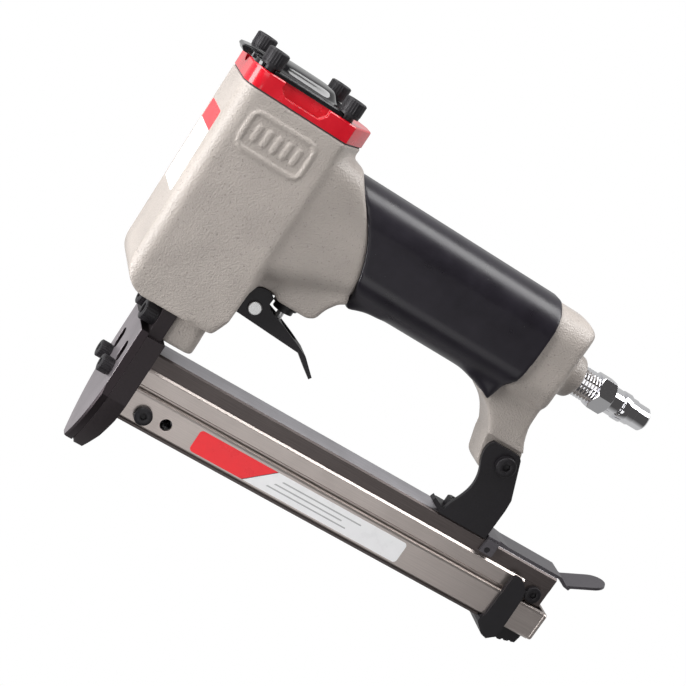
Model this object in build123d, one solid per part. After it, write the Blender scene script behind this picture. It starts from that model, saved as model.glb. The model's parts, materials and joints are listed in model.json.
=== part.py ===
from build123d import *
import os
from math import cos, pi, sin

# Pneumatic point tacker, in millimetres.
# Origin: middle of the nose body's tip face. +X runs rearwards along the magazine, +Z up along
# the driver, and the tool is close to symmetrical about the plane Y = 0.

# ---------------------------------------------------------------- driving dimensions

# driver line and nose
SEAM_X = -2.4            # plane where the driver guide plate meets the nose body
BLADE_THICK = 1.0
BLADE_WIDE = 8.0
BLADE_FIT = 0.1          # room round the blade in its groove
GROOVE_DEEP = BLADE_THICK + BLADE_FIT
AXIS_X = SEAM_X + GROOVE_DEEP / 2          # cylinder and driver axis
GUIDE_THICK = 3.4
NOSE_HALF = 16.0         # half-width of the shield-shaped nose
NOSE_TIP_HALF = 3.0
NOSE_TAPER_Z = 26.0      # where the sides start to curve in to the tip
NOSE_BACK = 5.2
NOSE_TAB_BACK = 3.3
NOSE_TIP_BACK = 2.4
NOSE_LEDGE_Z = 53.5
GUIDE_SHOULDER_Z = 55.0
GUIDE_TONGUE_HALF = 4.8
TIP_GAP = 0.5            # the guide plate ends this much above the nose tip
GUIDE_CHAMFER = 0.8      # along the front of its curved sides

# points that the magazine feeds
POINT_LONG = 15.0
FEED_FLOOR_Z = 21.4
FEED_HALF = 4.2
FEED_TOP_Z = FEED_FLOOR_Z + POINT_LONG

# head of the casting
HEAD_BOTTOM = 66.5
HEAD_TOP = 152.3
HEAD_HALF = 20.3
HEAD_FRONT_TOP = -24.3
HEAD_FRONT_LOW = -23.6
HEAD_CORNER = 6.5
HEAD_SIDE_BACK = 19.0    # where the flat side ends
HEAD_BACK = 29.2
HEAD_BACK_HALF = 3.5
HEAD_LOW_BACK = 20.2
HEAD_CHIN = 11.5         # radius under the front of the head
LEG_BACK = 16.6
LEG_HALF = 13.6
LEG_BOTTOM = 54.2

# cylinder, piston and head valve
CHAMBER_R = 17.2
CHAMBER_FLOOR = 75.0
CYLINDER_BORE = 13.0
CYLINDER_WALL = 2.0
CYLINDER_TOP = 137.0
RUN_FIT = 0.05           # radial clearance of what slides or turns
SEAT_FIT = 0.04          # radial clearance of what is put in and stays
BUMPER_HIGH = 10.0
PISTON_HIGH = 12.0
BLADE_IN_PISTON = 8.0
DRIVE_STROKE = 36.0
VALVE_LIFT = 4.0
HEAD_VALVE_HIGH = 10.0
HEAD_VALVE_FLOOR = 3.6

# cap
GASKET_THICK = 0.5
CAP_HIGH = 7.0
CAP_ROOF = 3.4
CAP_BOLT_PITCH = 33.3
CAP_PORT_DEEP = 2.2
PLATE_THICK = 1.8
PLATE_HALF = 18.6
PLATE_FRONT = -27.6
PLATE_BACK = 18.2
DOME_HIGH = 4.0
DOME_LONG = 31.0
DOME_WIDE = 22.0
SHEET_DOME = 1.0         # wall of the pressed dome and spout
SPOUT_HALF = 5.0
SPOUT_HIGH = 2.4
EXHAUST_R = 3.6          # channel in the front of the cap, under the spout

# handle
HANDLE_Z = 123.2
GRIP_HALF_HIGH = 21.7
GRIP_HALF = 16.0
GRIP_WALL = 2.2
TAIL_TOP = 143.5
TAIL_BACK = 150.6
TAIL_HALF = 14.2
TAIL_CORNER = 7.5
TAIL_CROWN = 4.5         # how far the rear face bulges
INLET_Z = 121.2
INLET_BOSS_R = 9.4
INLET_BOSS_END = 155.6
INLET_THREAD_R = 6.58    # G 1/4
THREAD_LONG = 8.8        # thread that stands out of the boss
THREAD_TURNS = 6
PLUG_HEX_LONG = 7.6
RESERVOIR_R = 8.5
ARM_HALF = 8.8
ARM_SEAT_HALF = 6.75     # seat for the bracket's cheek on the near side of the arm
ARM_SEAT_Z = 85.6

# trigger and its valve
TRIGGER_PIN = (28.0, 81.4)
TRIGGER_HALF = 7.0
TRIGGER_SHEET = 1.5
PIN_R = 2.0
LUG_HALF = 5.2
LUG_R = 3.3
VALVE_X = 39.4
VALVE_FACE_Z = 88.9      # underside of the casting round the valve
VALVE_BODY_R = 4.4
VALVE_BODY_HIGH = 12.0
STEM_R = 1.5
STEM_TIP_Z = 80.9
TRIGGER_TOUCH = 0.25     # gap between the trigger's tab and the stem at rest

# magazine: fixed rail and liner, sliding drawer
RAIL_TOP = 47.9
RAIL_HALF = 8.6
RAIL_LOW = 41.5
RAIL_WEB = 2.0
RAIL_WALL = 1.8
RAIL_BACK = 198.0
LINER_HALF = 9.4
LINER_WALL = 1.0
LINER_STEP_Z = 34.3
LINER_BACK = 185.8
LINER_STEP = 0.8
FOOT_OUT = 10.2
FOOT_LOW = 30.8
FOOT_HIGH = 1.1
DRAWER_HALF = 11.5
DRAWER_WALL = 1.2
DRAWER_TOP = 33.2
DRAWER_LOW = 20.1
DRAWER_BACK = 200.8
DRAWER_FIT = 0.1
RUNNER_THICK = 1.2
RUNNER_HALF = 10.9
RUNNER_BACK = 176.3
TRACK_HALF = 7.4
TRACK_BACK = 183.0
END_PLATE = 1.6
PUSHER_LONG = 14.0
ROD_R = 1.2
SPRING_R = 2.9           # mean radius of the pusher spring
SPRING_WIRE = 0.7
SPRING_TURNS = 30

# support bracket and latch
BRACKET_HALF = 8.8
BRACKET_SHEET = 2.0
FOOT_FAR = 5.5           # far edge of the bracket's foot
TAB_WIDE = 4.5
BRACKET_SCREW = (148.8, 77.9)
FOOT_SCREW_X = 143.7
LATCH_PIVOT = (163.3, 44.6)
LATCH_PIN_R = 1.2
LATCH_HALF = 7.2
LATCH_SADDLE_HALF = 10.2
LATCH_SHEET = 1.2
TONGUE_HALF = 6.3
TONGUE_LONG = 18.5
TONGUE_SLOPE = 25        # degrees

# socket screws: head radius, head height, shank radius, hexagon across flats
M5 = (4.25, 5.0, 2.5, 4.0)
M4 = (3.5, 4.0, 2.0, 3.0)
LOW_M5 = (4.25, 2.8, 2.5, 3.0)
LOW_M4 = (3.6, 2.2, 2.0, 2.5)
SCREW_FIT = 0.05
CLEAR_HOLE = 0.3


# ---------------------------------------------------------------- small helpers

def block(x0, x1, y0, y1, z0, z1):
    centre = Pos((x0 + x1) / 2, (y0 + y1) / 2, (z0 + z1) / 2)
    return centre * Box(x1 - x0, y1 - y0, z1 - z0)


def rod(start, along, radius, length):
    """A cylinder that starts at a point and runs in a direction."""
    return Solid.make_cylinder(radius, length, Plane(origin=start, z_dir=along))


def tube(start, along, outer, inner, length):
    return rod(start, along, outer, length) - rod(start, along, inner, length)


def side_prism(points, half):
    """A closed outline of (x, z) points, drawn out to both sides of the middle plane."""
    outline = Polyline(*[(x, -half, z) for x, z in points], close=True)
    return extrude(make_face(outline), amount=2 * half, dir=(0, 1, 0))


def side_shape(edges, half):
    """The same for an outline of edges that already lie in the middle plane."""
    face = make_face(edges)
    return extrude(face, amount=half, dir=(0, 1, 0)) + extrude(face, amount=half, dir=(0, -1, 0))


def cross_prism(points, x0, x1):
    """A closed outline of (y, z) points, drawn out along X."""
    outline = Polyline(*[(x0, y, z) for y, z in points], close=True)
    return extrude(make_face(outline), amount=x1 - x0, dir=(1, 0, 0))


def mirrored(points):
    """The outline of a symmetrical section, from its half with y above 0."""
    return points + [(-y, z) for y, z in reversed(points)]


def bar_section(x, half_wide, low, high, radius):
    """A rounded rectangle across the handle, at one X."""
    plane = Plane(origin=(x, 0, (low + high) / 2), x_dir=(0, 1, 0), z_dir=(1, 0, 0))
    return plane * RectangleRounded(2 * half_wide, high - low, radius)


def rounded_bar(x0, x1, half_wide, low, high, radius):
    return extrude(bar_section(x0, half_wide, low, high, radius), amount=x1 - x0, dir=(1, 0, 0))


def socket_screw(seat, along, size, length):
    """A hexagon socket screw: seat is the point under the head, along is the shank's direction."""
    head_r, head_h, shank_r, flats = size
    seat = Vector(*seat)
    along = Vector(*along)
    top = seat - along * head_h
    head = rod(top, along, head_r, head_h)
    rim = head.edges().filter_by(GeomType.CIRCLE).sort_by(Axis(top, along))[0]
    head = chamfer(rim, 0.35)
    socket = Plane(origin=top, z_dir=along) * RegularPolygon(flats / 2, 6, major_radius=False)
    head -= extrude(socket, amount=0.6 * head_h, dir=along)
    return head + rod(seat, along, shank_r - SCREW_FIT, length)


def hex_nut(face, along, flats, thick, bore):
    plane = Plane(origin=face, z_dir=along)
    nut = extrude(plane * RegularPolygon(flats / 2, 6, major_radius=False), amount=thick)
    return nut - rod(face, along, bore, thick)


def coil(start, along, radius, wire, turns, length):
    """An open coil spring of round wire."""
    path = Helix(pitch=length / turns, height=length, radius=radius)
    path = Plane(origin=start, z_dir=along) * path
    section = Plane(origin=path @ 0, z_dir=path % 0) * Circle(wire / 2)
    return sweep(section, path=path)


def ring(centre, along, radius, wire):
    """An O-ring."""
    return Plane(origin=centre, z_dir=along) * Torus(radius, wire / 2)


def group(shapes):
    """Separate like pieces that share one node."""
    return Compound(children=list(shapes))


# ---------------------------------------------------------------- casting

def head_plan(inset):
    """Plan outline of the head and cap: rounded at the front, drawn in to the handle behind."""
    half = HEAD_HALF - inset
    front = HEAD_FRONT_TOP + inset
    back = HEAD_BACK - inset
    r = HEAD_CORNER - inset
    outline = Polyline(
        (front + r, -half), (HEAD_SIDE_BACK, -half), (back, -HEAD_BACK_HALF),
        (back, HEAD_BACK_HALF), (HEAD_SIDE_BACK, half), (front + r, half))
    bend = r * (1 - cos(pi / 4))
    left = ThreePointArc((front + r, half), (front + bend, half - bend), (front, half - r))
    nose = Line((front, half - r), (front, -half + r))
    right = ThreePointArc((front, -half + r), (front + bend, -half + bend), (front + r, -half))
    return make_face(outline + left + nose + right)


def head_body():
    plan = extrude(Pos(0, 0, HEAD_BOTTOM) * head_plan(0), amount=HEAD_TOP - HEAD_BOTTOM)
    chin = HEAD_CHIN * (1 - cos(pi / 4))
    chin_top = (HEAD_FRONT_LOW, 0, HEAD_BOTTOM + HEAD_CHIN)
    chin_mid = (HEAD_FRONT_LOW + chin, 0, HEAD_BOTTOM + chin)
    chin_end = (HEAD_FRONT_LOW + HEAD_CHIN, 0, HEAD_BOTTOM)
    outline = Polyline(
        chin_end, (LEG_BACK, 0, HEAD_BOTTOM), (HEAD_LOW_BACK - 0.8, 0, 73), (HEAD_LOW_BACK, 0, 87),
        (22.4, 0, 90), (24.6, 0, 91), (30, 0, 91), (32, 0, 89), (HEAD_BACK + 5, 0, 89),
        (HEAD_BACK + 5, 0, HEAD_TOP), (HEAD_FRONT_TOP, 0, HEAD_TOP), chin_top)
    return plan & side_shape(outline + ThreePointArc(chin_top, chin_mid, chin_end), HEAD_HALF)


def leg():
    """The block below the head that carries the nose."""
    body = block(NOSE_TAB_BACK, LEG_BACK, -LEG_HALF, LEG_HALF, LEG_BOTTOM, HEAD_BOTTOM + 4)
    body = fillet(body.edges().filter_by(Axis.Z).group_by(Axis.X)[-1], 4)
    return fillet(body.faces().sort_by(Axis.Z)[0].edges(), 1.2)


def neck():
    """From the head to the front of the grip."""
    low, high = HANDLE_Z - GRIP_HALF_HIGH, HANDLE_Z + GRIP_HALF_HIGH
    wide = bar_section(14, HEAD_HALF - 0.1, 92, 150, 7)
    mid = bar_section(36, GRIP_HALF + 1.0, 96, high + 2.2, 10)
    slim = bar_section(60, GRIP_HALF - 0.6, low, high - 0.4, 12)
    return loft([wide, mid, slim])


def valve_housing():
    """The low block behind the head that holds the trigger valve."""
    outline = [
        (20, 110), (HEAD_LOW_BACK, 88), (22.4, 90), (24.6, 91), (30, 91), (32, VALVE_FACE_Z),
        (45.5, VALVE_FACE_Z), (48.6, 90.4), (50.2, 95.4), (53.2, 99.8), (60, 102.6), (60, 110)]
    return side_prism(outline, 13.6)


def trigger_lug():
    x, z = TRIGGER_PIN
    lug = rod((x, -LUG_HALF, z), (0, 1, 0), LUG_R, 2 * LUG_HALF)
    lug += block(x - LUG_R, x + LUG_R, -LUG_HALF, LUG_HALF, z, 96)
    return lug - rod((x, -20, z), (0, 1, 0), PIN_R + SEAT_FIT, 40)


def handle_core():
    low, high = HANDLE_Z - GRIP_HALF_HIGH, HANDLE_Z + GRIP_HALF_HIGH
    return rounded_bar(30, 140, GRIP_HALF - GRIP_WALL, low + GRIP_WALL, high - GRIP_WALL, 11)


def tail():
    """Rear end of the handle, behind the grip, with the air inlet boss."""
    low = HANDLE_Z - GRIP_HALF_HIGH + 0.8
    body = rounded_bar(118, TAIL_BACK + 2, TAIL_HALF, low, TAIL_TOP, 11.5)
    outline = Polyline(
        (TAIL_BACK, 0, TAIL_TOP - TAIL_CORNER), (TAIL_BACK, 0, 115), (TAIL_BACK - 0.6, 0, 110.6),
        (148.2, 0, 105), (147, 0, 96), (110, 0, 96), (110, 0, TAIL_TOP),
        (TAIL_BACK - TAIL_CORNER, 0, TAIL_TOP))
    bend = TAIL_CORNER * (1 - cos(pi / 4))
    corner = ThreePointArc((TAIL_BACK - TAIL_CORNER, 0, TAIL_TOP), (TAIL_BACK - bend, 0, TAIL_TOP - bend),
                           (TAIL_BACK, 0, TAIL_TOP - TAIL_CORNER))
    body = body & side_shape(outline + corner, 20)
    edge = TAIL_BACK - TAIL_CROWN
    crown = ThreePointArc((edge, TAIL_HALF, 0), (TAIL_BACK, 0, 0), (edge, -TAIL_HALF, 0))
    sides = Polyline((edge, -TAIL_HALF, 0), (100, -TAIL_HALF, 0), (100, TAIL_HALF, 0),
                     (edge, TAIL_HALF, 0))
    plan = extrude(make_face(crown + sides), amount=200)
    plan = fillet(plan.edges().filter_by(Axis.Z).group_by(Axis.X)[-1], 2.5)
    body = body & plan
    boss = rod((140, 0, INLET_Z), (1, 0, 0), INLET_BOSS_R, INLET_BOSS_END - 140)
    rim = boss.edges().filter_by(GeomType.CIRCLE).sort_by(Axis.X)[-1]
    return body + chamfer(rim, 1.0)


def arm():
    """Slim arm from the tail down into the support bracket."""
    outline = Polyline(
        (131.3, 0, 91.3), (135.0, 0, 85.9), (135.5, 0, 82.9), (138.6, 0, 73.0), (141.5, 0, 71.4),
        (155.5, 0, 68.4), (157.6, 0, 70.4), (157.0, 0, 74.0), (153.3, 0, 84.7), (150.4, 0, 90.6),
        (148.7, 0, 95.6), (148.2, 0, 105.0), (148.2, 0, 112.0), (122.0, 0, 112.0), (122.0, 0, 98.0))
    front = ThreePointArc((122.0, 0, 98.0), (127.4, 0, 95.2), (131.3, 0, 91.3))
    body = side_shape(outline + front, ARM_HALF)
    body -= block(130, 165, -ARM_HALF - 1, -ARM_SEAT_HALF, 60, ARM_SEAT_Z)
    x, z = BRACKET_SCREW
    return body - rod((x, -20, z), (0, 1, 0), LOW_M5[2] + CLEAR_HOLE, 40)


def badge_frame():
    """Raised oval rim on each side of the head, with five plain bars inside it."""
    marks = []
    for side in (-1, 1):
        plane = Plane(origin=(-2.0, side * (HEAD_HALF - 0.2), 139.0), x_dir=(1, 0, 0),
                      z_dir=(0, side, 0))
        rim = plane * (RectangleRounded(27.4, 15.4, 3.6) - RectangleRounded(25.0, 13.0, 2.5))
        marks.append(extrude(rim, amount=0.75))
        for place in range(5):
            bar = plane * Pos(4.2 * (place - 2), 0) * RectangleRounded(1.8, 6.4, 0.8)
            marks.append(extrude(bar, amount=0.65))
    return marks


def cap_bolt_places():
    half = CAP_BOLT_PITCH / 2
    return [(AXIS_X + i * half, j * half) for i in (-1, 1) for j in (-1, 1)]


def body_casting():
    body = head_body() + leg() + neck() + valve_housing()
    body -= grip_space()
    body += handle_core() + tail() + arm()
    body += trigger_lug()
    for mark in badge_frame():
        body += mark
    depth = HEAD_TOP - CHAMBER_FLOOR
    body -= rod((AXIS_X, 0, CHAMBER_FLOOR), (0, 0, 1), CHAMBER_R, depth)
    body -= blade_slot(50, CHAMBER_FLOOR + 1)
    for x, y in cap_bolt_places():
        body -= rod((x, y, HEAD_TOP - 20), (0, 0, 1), M5[2], 20)
    for y in UPPER_SCREW_Y:
        body -= rod((NOSE_TAB_BACK - 1, y, UPPER_SCREW_Z), (1, 0, 0), M5[2], 13)
    body -= rod((4, 0, HANDLE_Z), (1, 0, 0), RESERVOIR_R, 140)
    body -= rod((142, 0, INLET_Z), (1, 0, 0), INLET_THREAD_R, 20)
    body -= rod((VALVE_X, 0, VALVE_FACE_Z - 5), (0, 0, 1), VALVE_BODY_R + SEAT_FIT, 22)
    return body - rod((VALVE_X, 0, 100), (0, 0, 1), 2.5, 16)


def blade_slot(low, high):
    half = BLADE_WIDE / 2 + BLADE_FIT
    return block(SEAM_X, SEAM_X + GROOVE_DEEP, -half, half, low, high)


# ---------------------------------------------------------------- grip

def grip_front(x_more):
    """The curved front end of the grip, seen from the side, moved rearwards by x_more."""
    points = [(33.2, 150), (34.6, 144.5), (38.4, 138.8), (43.2, 132.6), (47.9, 125.8),
              (51.2, 118.6), (53.6, 110.5), (55.0, 104.2), (58.4, 97), (60.2, 92)]
    return Spline(*[(x + x_more, 0, z) for x, z in points])


def grip_space():
    """Everything behind the grip's front curve, as far as the tail."""
    curve = grip_front(-0.02)
    back = Polyline(curve @ 1, (138, 0, 92), (138, 0, 150), curve @ 0)
    return side_shape(curve + back, 24)


def grip_sleeve():
    low, high = HANDLE_Z - GRIP_HALF_HIGH, HANDLE_Z + GRIP_HALF_HIGH
    bar = rounded_bar(28, 136, GRIP_HALF, low, high, 13.5)
    foot = side_prism([(52, 106), (57.6, 97.8), (60.4, 99.6), (66.5, low), (72, low), (72, 106)], 9.5)
    heel = side_prism([(112, 106), (112, low), (118.5, 100.2), (124.2, 97.2), (128.6, 94.6),
                       (132.5, 106)], 11.6)
    bar += foot + heel
    front = grip_front(0)
    rear = Spline((130.0, 0, 150), (130.4, 0, 143.0), (130.8, 0, 137.0), (130.8, 0, 127),
                  (130.4, 0, 117), (129.2, 0, 108), (127.4, 0, 101), (125.0, 0, 92))
    ends = Polyline(rear @ 1, front @ 1) + Polyline(front @ 0, rear @ 0)
    bar = bar & side_shape(front + rear + ends, 20)
    return bar - handle_core() - tail() - arm()


# ---------------------------------------------------------------- cap and head valve

def cap_pieces():
    cap_low = HEAD_TOP + GASKET_THICK
    cap_top = cap_low + CAP_HIGH
    bolt_holes = [rod((x, y, HEAD_TOP - 1), (0, 0, 1), M5[2] + CLEAR_HOLE, 20)
                  for x, y in cap_bolt_places()]

    gasket = extrude(Pos(0, 0, HEAD_TOP) * head_plan(0.5), amount=GASKET_THICK)
    gasket -= rod((AXIS_X, 0, HEAD_TOP), (0, 0, 1), CHAMBER_R, GASKET_THICK)

    cap = extrude(Pos(0, 0, cap_low) * head_plan(0), amount=CAP_HIGH)
    cap = chamfer(cap.faces().sort_by(Axis.Z)[-1].edges(), 0.5)
    cap -= rod((AXIS_X, 0, cap_low), (0, 0, 1), CHAMBER_R, CAP_HIGH - CAP_ROOF)
    for side in (-1, 1):
        low = [(-8.7, cap_low + 2.0), (5.8, cap_low + 2.0), (7.8, cap_low + 4.4), (7.8, cap_top + 1),
               (-11.4, cap_top + 1), (-11.4, cap_low + 4.4)]
        port = side_prism(low, CAP_PORT_DEEP)
        cap -= Pos(0, side * HEAD_HALF, 0) * port
    # exhaust hole up to the space under the dome, and the channel from there to the front
    cap -= rod((AXIS_X, 0, cap_low), (0, 0, 1), 5.0, CAP_HIGH)
    cap -= rod((HEAD_FRONT_TOP - 1, 0, cap_top + 0.8), (1, 0, 0), EXHAUST_R, 9.0)
    for hole in bolt_holes:
        gasket -= hole
        cap -= hole
    return gasket, cap


def exhaust_plate():
    """Pressed steel deflector on the cap: flat rim, hollow dome and a turned-up front spout."""
    low = HEAD_TOP + GASKET_THICK + CAP_HIGH
    top = low + PLATE_THICK
    front = HEAD_FRONT_TOP + 0.3
    rim = Pos((front + PLATE_BACK) / 2, 0, low) * extrude(
        RectangleRounded(PLATE_BACK - front, 2 * PLATE_HALF, 5), amount=PLATE_THICK)
    centre = AXIS_X - 1.5
    dome = extrude(Pos(centre, 0, top) * RectangleRounded(DOME_LONG, DOME_WIDE, 8),
                   amount=DOME_HIGH, taper=32)
    spout = side_prism([(PLATE_FRONT, low), (PLATE_FRONT - 1.4, low + 1.4), (PLATE_FRONT - 1.0, top + 0.9),
                        (PLATE_FRONT + 1.6, top + SPOUT_HIGH - 0.8), (front + 2, top + SPOUT_HIGH),
                        (centre, top + SPOUT_HIGH), (centre, low)], SPOUT_HALF)
    spout = fillet(spout.edges().filter_by(Axis.X).group_by(Axis.Z)[-1], 1.5)
    inner = extrude(Pos(centre, 0, low) * RectangleRounded(DOME_LONG - 2, DOME_WIDE - 2, 7),
                    amount=PLATE_THICK + DOME_HIGH - SHEET_DOME, taper=28)
    mouth = SPOUT_HALF - SHEET_DOME
    inner += side_prism([(PLATE_FRONT + 0.4, low - 0.1), (front + 1.6, top + SPOUT_HIGH - SHEET_DOME - 0.4),
                         (centre, top + SPOUT_HIGH - SHEET_DOME), (centre, low - 0.1)], mouth)
    plate = rim + dome + spout - inner
    for x, y in cap_bolt_places():
        plate -= rod((x, y, low), (0, 0, 1), M5[2] + CLEAR_HOLE, PLATE_THICK)
    return plate


def cap_screws():
    seat = HEAD_TOP + GASKET_THICK + CAP_HIGH + PLATE_THICK
    washer = 1.2
    screws = [socket_screw((x, y, seat + washer), (0, 0, -1), M5, 24) for x, y in cap_bolt_places()]
    washers = [tube((x, y, seat), (0, 0, 1), 4.1, M5[2] + 0.1, washer) for x, y in cap_bolt_places()]
    return group(screws), group(washers)


def head_valve():
    """Moving valve on top of the cylinder: a cup with a seal groove."""
    low = CYLINDER_TOP + 0.1
    cup = rod((AXIS_X, 0, low), (0, 0, 1), CHAMBER_R - RUN_FIT, HEAD_VALVE_HIGH)
    cup -= rod((AXIS_X, 0, low + HEAD_VALVE_FLOOR), (0, 0, 1), 12.5, HEAD_VALVE_HIGH)
    groove = tube((AXIS_X, 0, low + 5), (0, 0, 1), CHAMBER_R, CHAMBER_R - 1.8, 2.0)
    seal = ring((AXIS_X, 0, low + 6), (0, 0, 1), CHAMBER_R - 1.0, 1.6)
    spring_low = low + HEAD_VALVE_FLOOR + 0.75
    spring_top = HEAD_TOP + GASKET_THICK + CAP_HIGH - CAP_ROOF - 0.75
    spring = coil((AXIS_X, 0, spring_low), (0, 0, 1), 9.5, 1.2, 4, spring_top - spring_low)
    return cup - groove, seal, spring


# ---------------------------------------------------------------- cylinder, piston and driver

def cylinder():
    """Aluminium liner with a flange at each end and return-air holes near its foot."""
    outer = CYLINDER_BORE + CYLINDER_WALL
    flange = CHAMBER_R - SEAT_FIT
    high = CYLINDER_TOP - CHAMBER_FLOOR
    body = rod((AXIS_X, 0, CHAMBER_FLOOR), (0, 0, 1), outer, high)
    seals = []
    for low in (CHAMBER_FLOOR, CHAMBER_FLOOR + 44):
        body += rod((AXIS_X, 0, low), (0, 0, 1), flange, 6)
        body -= tube((AXIS_X, 0, low + 2), (0, 0, 1), CHAMBER_R, CHAMBER_R - 1.8, 2.0)
        seals.append(ring((AXIS_X, 0, low + 3), (0, 0, 1), CHAMBER_R - 0.95, 1.6))
    body -= rod((AXIS_X, 0, CHAMBER_FLOOR), (0, 0, 1), CYLINDER_BORE, high)
    for turn in range(6):
        way = (cos(turn * pi / 3), sin(turn * pi / 3), 0)
        body -= rod((AXIS_X, 0, CHAMBER_FLOOR + BUMPER_HIGH + 6), way, 1.2, CHAMBER_R)
    return body, group(seals)


def bumper():
    pad = rod((AXIS_X, 0, CHAMBER_FLOOR), (0, 0, 1), CYLINDER_BORE - 0.1, BUMPER_HIGH)
    pad = chamfer(pad.edges().filter_by(GeomType.CIRCLE).sort_by(Axis.Z)[-1], 1.5)
    half = BLADE_WIDE / 2 + 0.4
    return pad - block(AXIS_X - 1.2, AXIS_X + 1.2, -half, half, CHAMBER_FLOOR - 1, CHAMBER_FLOOR + 20)


PISTON_LOW = CHAMBER_FLOOR + BUMPER_HIGH + 0.3 + DRIVE_STROKE
BLADE_TIP_Z = FEED_TOP_Z + 0.4


def driver():
    body = rod((AXIS_X, 0, PISTON_LOW), (0, 0, 1), CYLINDER_BORE - RUN_FIT, PISTON_HIGH)
    body -= tube((AXIS_X, 0, PISTON_LOW + 5), (0, 0, 1), CYLINDER_BORE, CYLINDER_BORE - 1.6, 1.9)
    seal = ring((AXIS_X, 0, PISTON_LOW + 5.95), (0, 0, 1), CYLINDER_BORE - 0.85, 1.4)
    x0 = AXIS_X - BLADE_THICK / 2
    blade = block(x0, x0 + BLADE_THICK, -BLADE_WIDE / 2, BLADE_WIDE / 2,
                  BLADE_TIP_Z, PISTON_LOW + BLADE_IN_PISTON)
    body -= block(x0 - 0.03, x0 + BLADE_THICK + 0.03, -BLADE_WIDE / 2 - 0.03, BLADE_WIDE / 2 + 0.03,
                  PISTON_LOW - 1, PISTON_LOW + BLADE_IN_PISTON)
    pin_start = (AXIS_X - 8, 0, PISTON_LOW + 3)
    body -= rod(pin_start, (1, 0, 0), 1.25 + SEAT_FIT, 16)
    blade -= rod(pin_start, (1, 0, 0), 1.25 + SEAT_FIT, 16)
    return body, seal, blade, rod(pin_start, (1, 0, 0), 1.25, 16)


# ---------------------------------------------------------------- nose

UPPER_SCREW_Y = (-9.4, 9.4)
UPPER_SCREW_Z = 60.6
LOWER_SCREW_Y = (-8.2, 8.2)
LOWER_SCREW_Z = 34.3


def shield_outline(top, tip_z):
    """Front view of the nose: straight sides that curve in to a narrow tip."""
    half, tip = NOSE_HALF, NOSE_TIP_HALF
    mid_half, mid_z = 0.72 * half, 0.5 * NOSE_TAPER_Z
    right = ThreePointArc((0, half, NOSE_TAPER_Z), (0, mid_half, mid_z), (0, tip, tip_z))
    left = ThreePointArc((0, -tip, tip_z), (0, -mid_half, mid_z), (0, -half, NOSE_TAPER_Z))
    foot = Line((0, tip, tip_z), (0, -tip, tip_z))
    sides = Polyline((0, -half, NOSE_TAPER_Z), (0, -half, top), (0, half, top),
                     (0, half, NOSE_TAPER_Z))
    return make_face(right + foot + left + sides)


def nose_body():
    top = HEAD_BOTTOM - 0.1
    depth = NOSE_BACK - SEAM_X
    body = extrude(Pos(SEAM_X, 0, 0) * shield_outline(NOSE_LEDGE_Z, 0), amount=depth, dir=(1, 0, 0))
    body += block(SEAM_X, NOSE_TAB_BACK, -LEG_HALF - 0.8, LEG_HALF + 0.8, NOSE_LEDGE_Z, top)
    outline = [(SEAM_X - 1, -1), (NOSE_TIP_BACK, -1), (NOSE_TIP_BACK, 0), (4.4, 9.2),
               (NOSE_BACK, 18), (NOSE_BACK, NOSE_LEDGE_Z), (NOSE_TAB_BACK, NOSE_LEDGE_Z),
               (NOSE_TAB_BACK, top), (SEAM_X - 1, top)]
    body = body & side_prism(outline, 20)
    # spigot that carries the front of the rail
    body += block(NOSE_BACK - 1, NOSE_BACK + 10, -RAIL_HALF + RAIL_WALL + SEAT_FIT,
                  RAIL_HALF - RAIL_WALL - SEAT_FIT, RAIL_LOW + 0.1, RAIL_TOP - RAIL_WEB - SEAT_FIT)
    body -= blade_slot(-1, top + 1)
    body -= block(SEAM_X, NOSE_BACK + 1, -FEED_HALF, FEED_HALF, FEED_FLOOR_Z - 0.3, FEED_TOP_Z + 0.2)
    for y in UPPER_SCREW_Y:
        body -= rod((SEAM_X - 1, y, UPPER_SCREW_Z), (1, 0, 0), M5[2] + CLEAR_HOLE, 10)
    for y in LOWER_SCREW_Y:
        body -= rod((SEAM_X - 1, y, LOWER_SCREW_Z), (1, 0, 0), M4[2], 10)
    return body


def driver_guide_plate():
    face_x = SEAM_X - GUIDE_THICK
    plate = extrude(Pos(face_x, 0, 0) * shield_outline(GUIDE_SHOULDER_Z, TIP_GAP),
                    amount=GUIDE_THICK, dir=(1, 0, 0))
    bends = plate.faces().sort_by(Axis.X)[0].edges().filter_by(GeomType.CIRCLE)
    plate = chamfer(bends, GUIDE_CHAMFER)
    tongue_top = HEAD_BOTTOM - 0.2
    tongue = block(face_x, SEAM_X, -GUIDE_TONGUE_HALF, GUIDE_TONGUE_HALF, GUIDE_SHOULDER_Z - 1, tongue_top)
    plate += tongue
    inner = [edge for edge in plate.edges().filter_by(Axis.X)
             if abs(edge.center().Z - GUIDE_SHOULDER_Z) < 0.01
             and abs(abs(edge.center().Y) - GUIDE_TONGUE_HALF) < 0.01]
    plate = fillet(inner, 0.8)
    for y in LOWER_SCREW_Y:
        plate -= rod((face_x - 1, y, LOWER_SCREW_Z), (1, 0, 0), M4[2] + 0.2, 10)
        slot = Plane(origin=(face_x, y * 0.95, 41.9), x_dir=(0, 1, 0), z_dir=(1, 0, 0))
        plate -= extrude(slot * Rot(0, 0, 90) * SlotOverall(8.8, 5.4), amount=GUIDE_THICK)
    return plate


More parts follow.
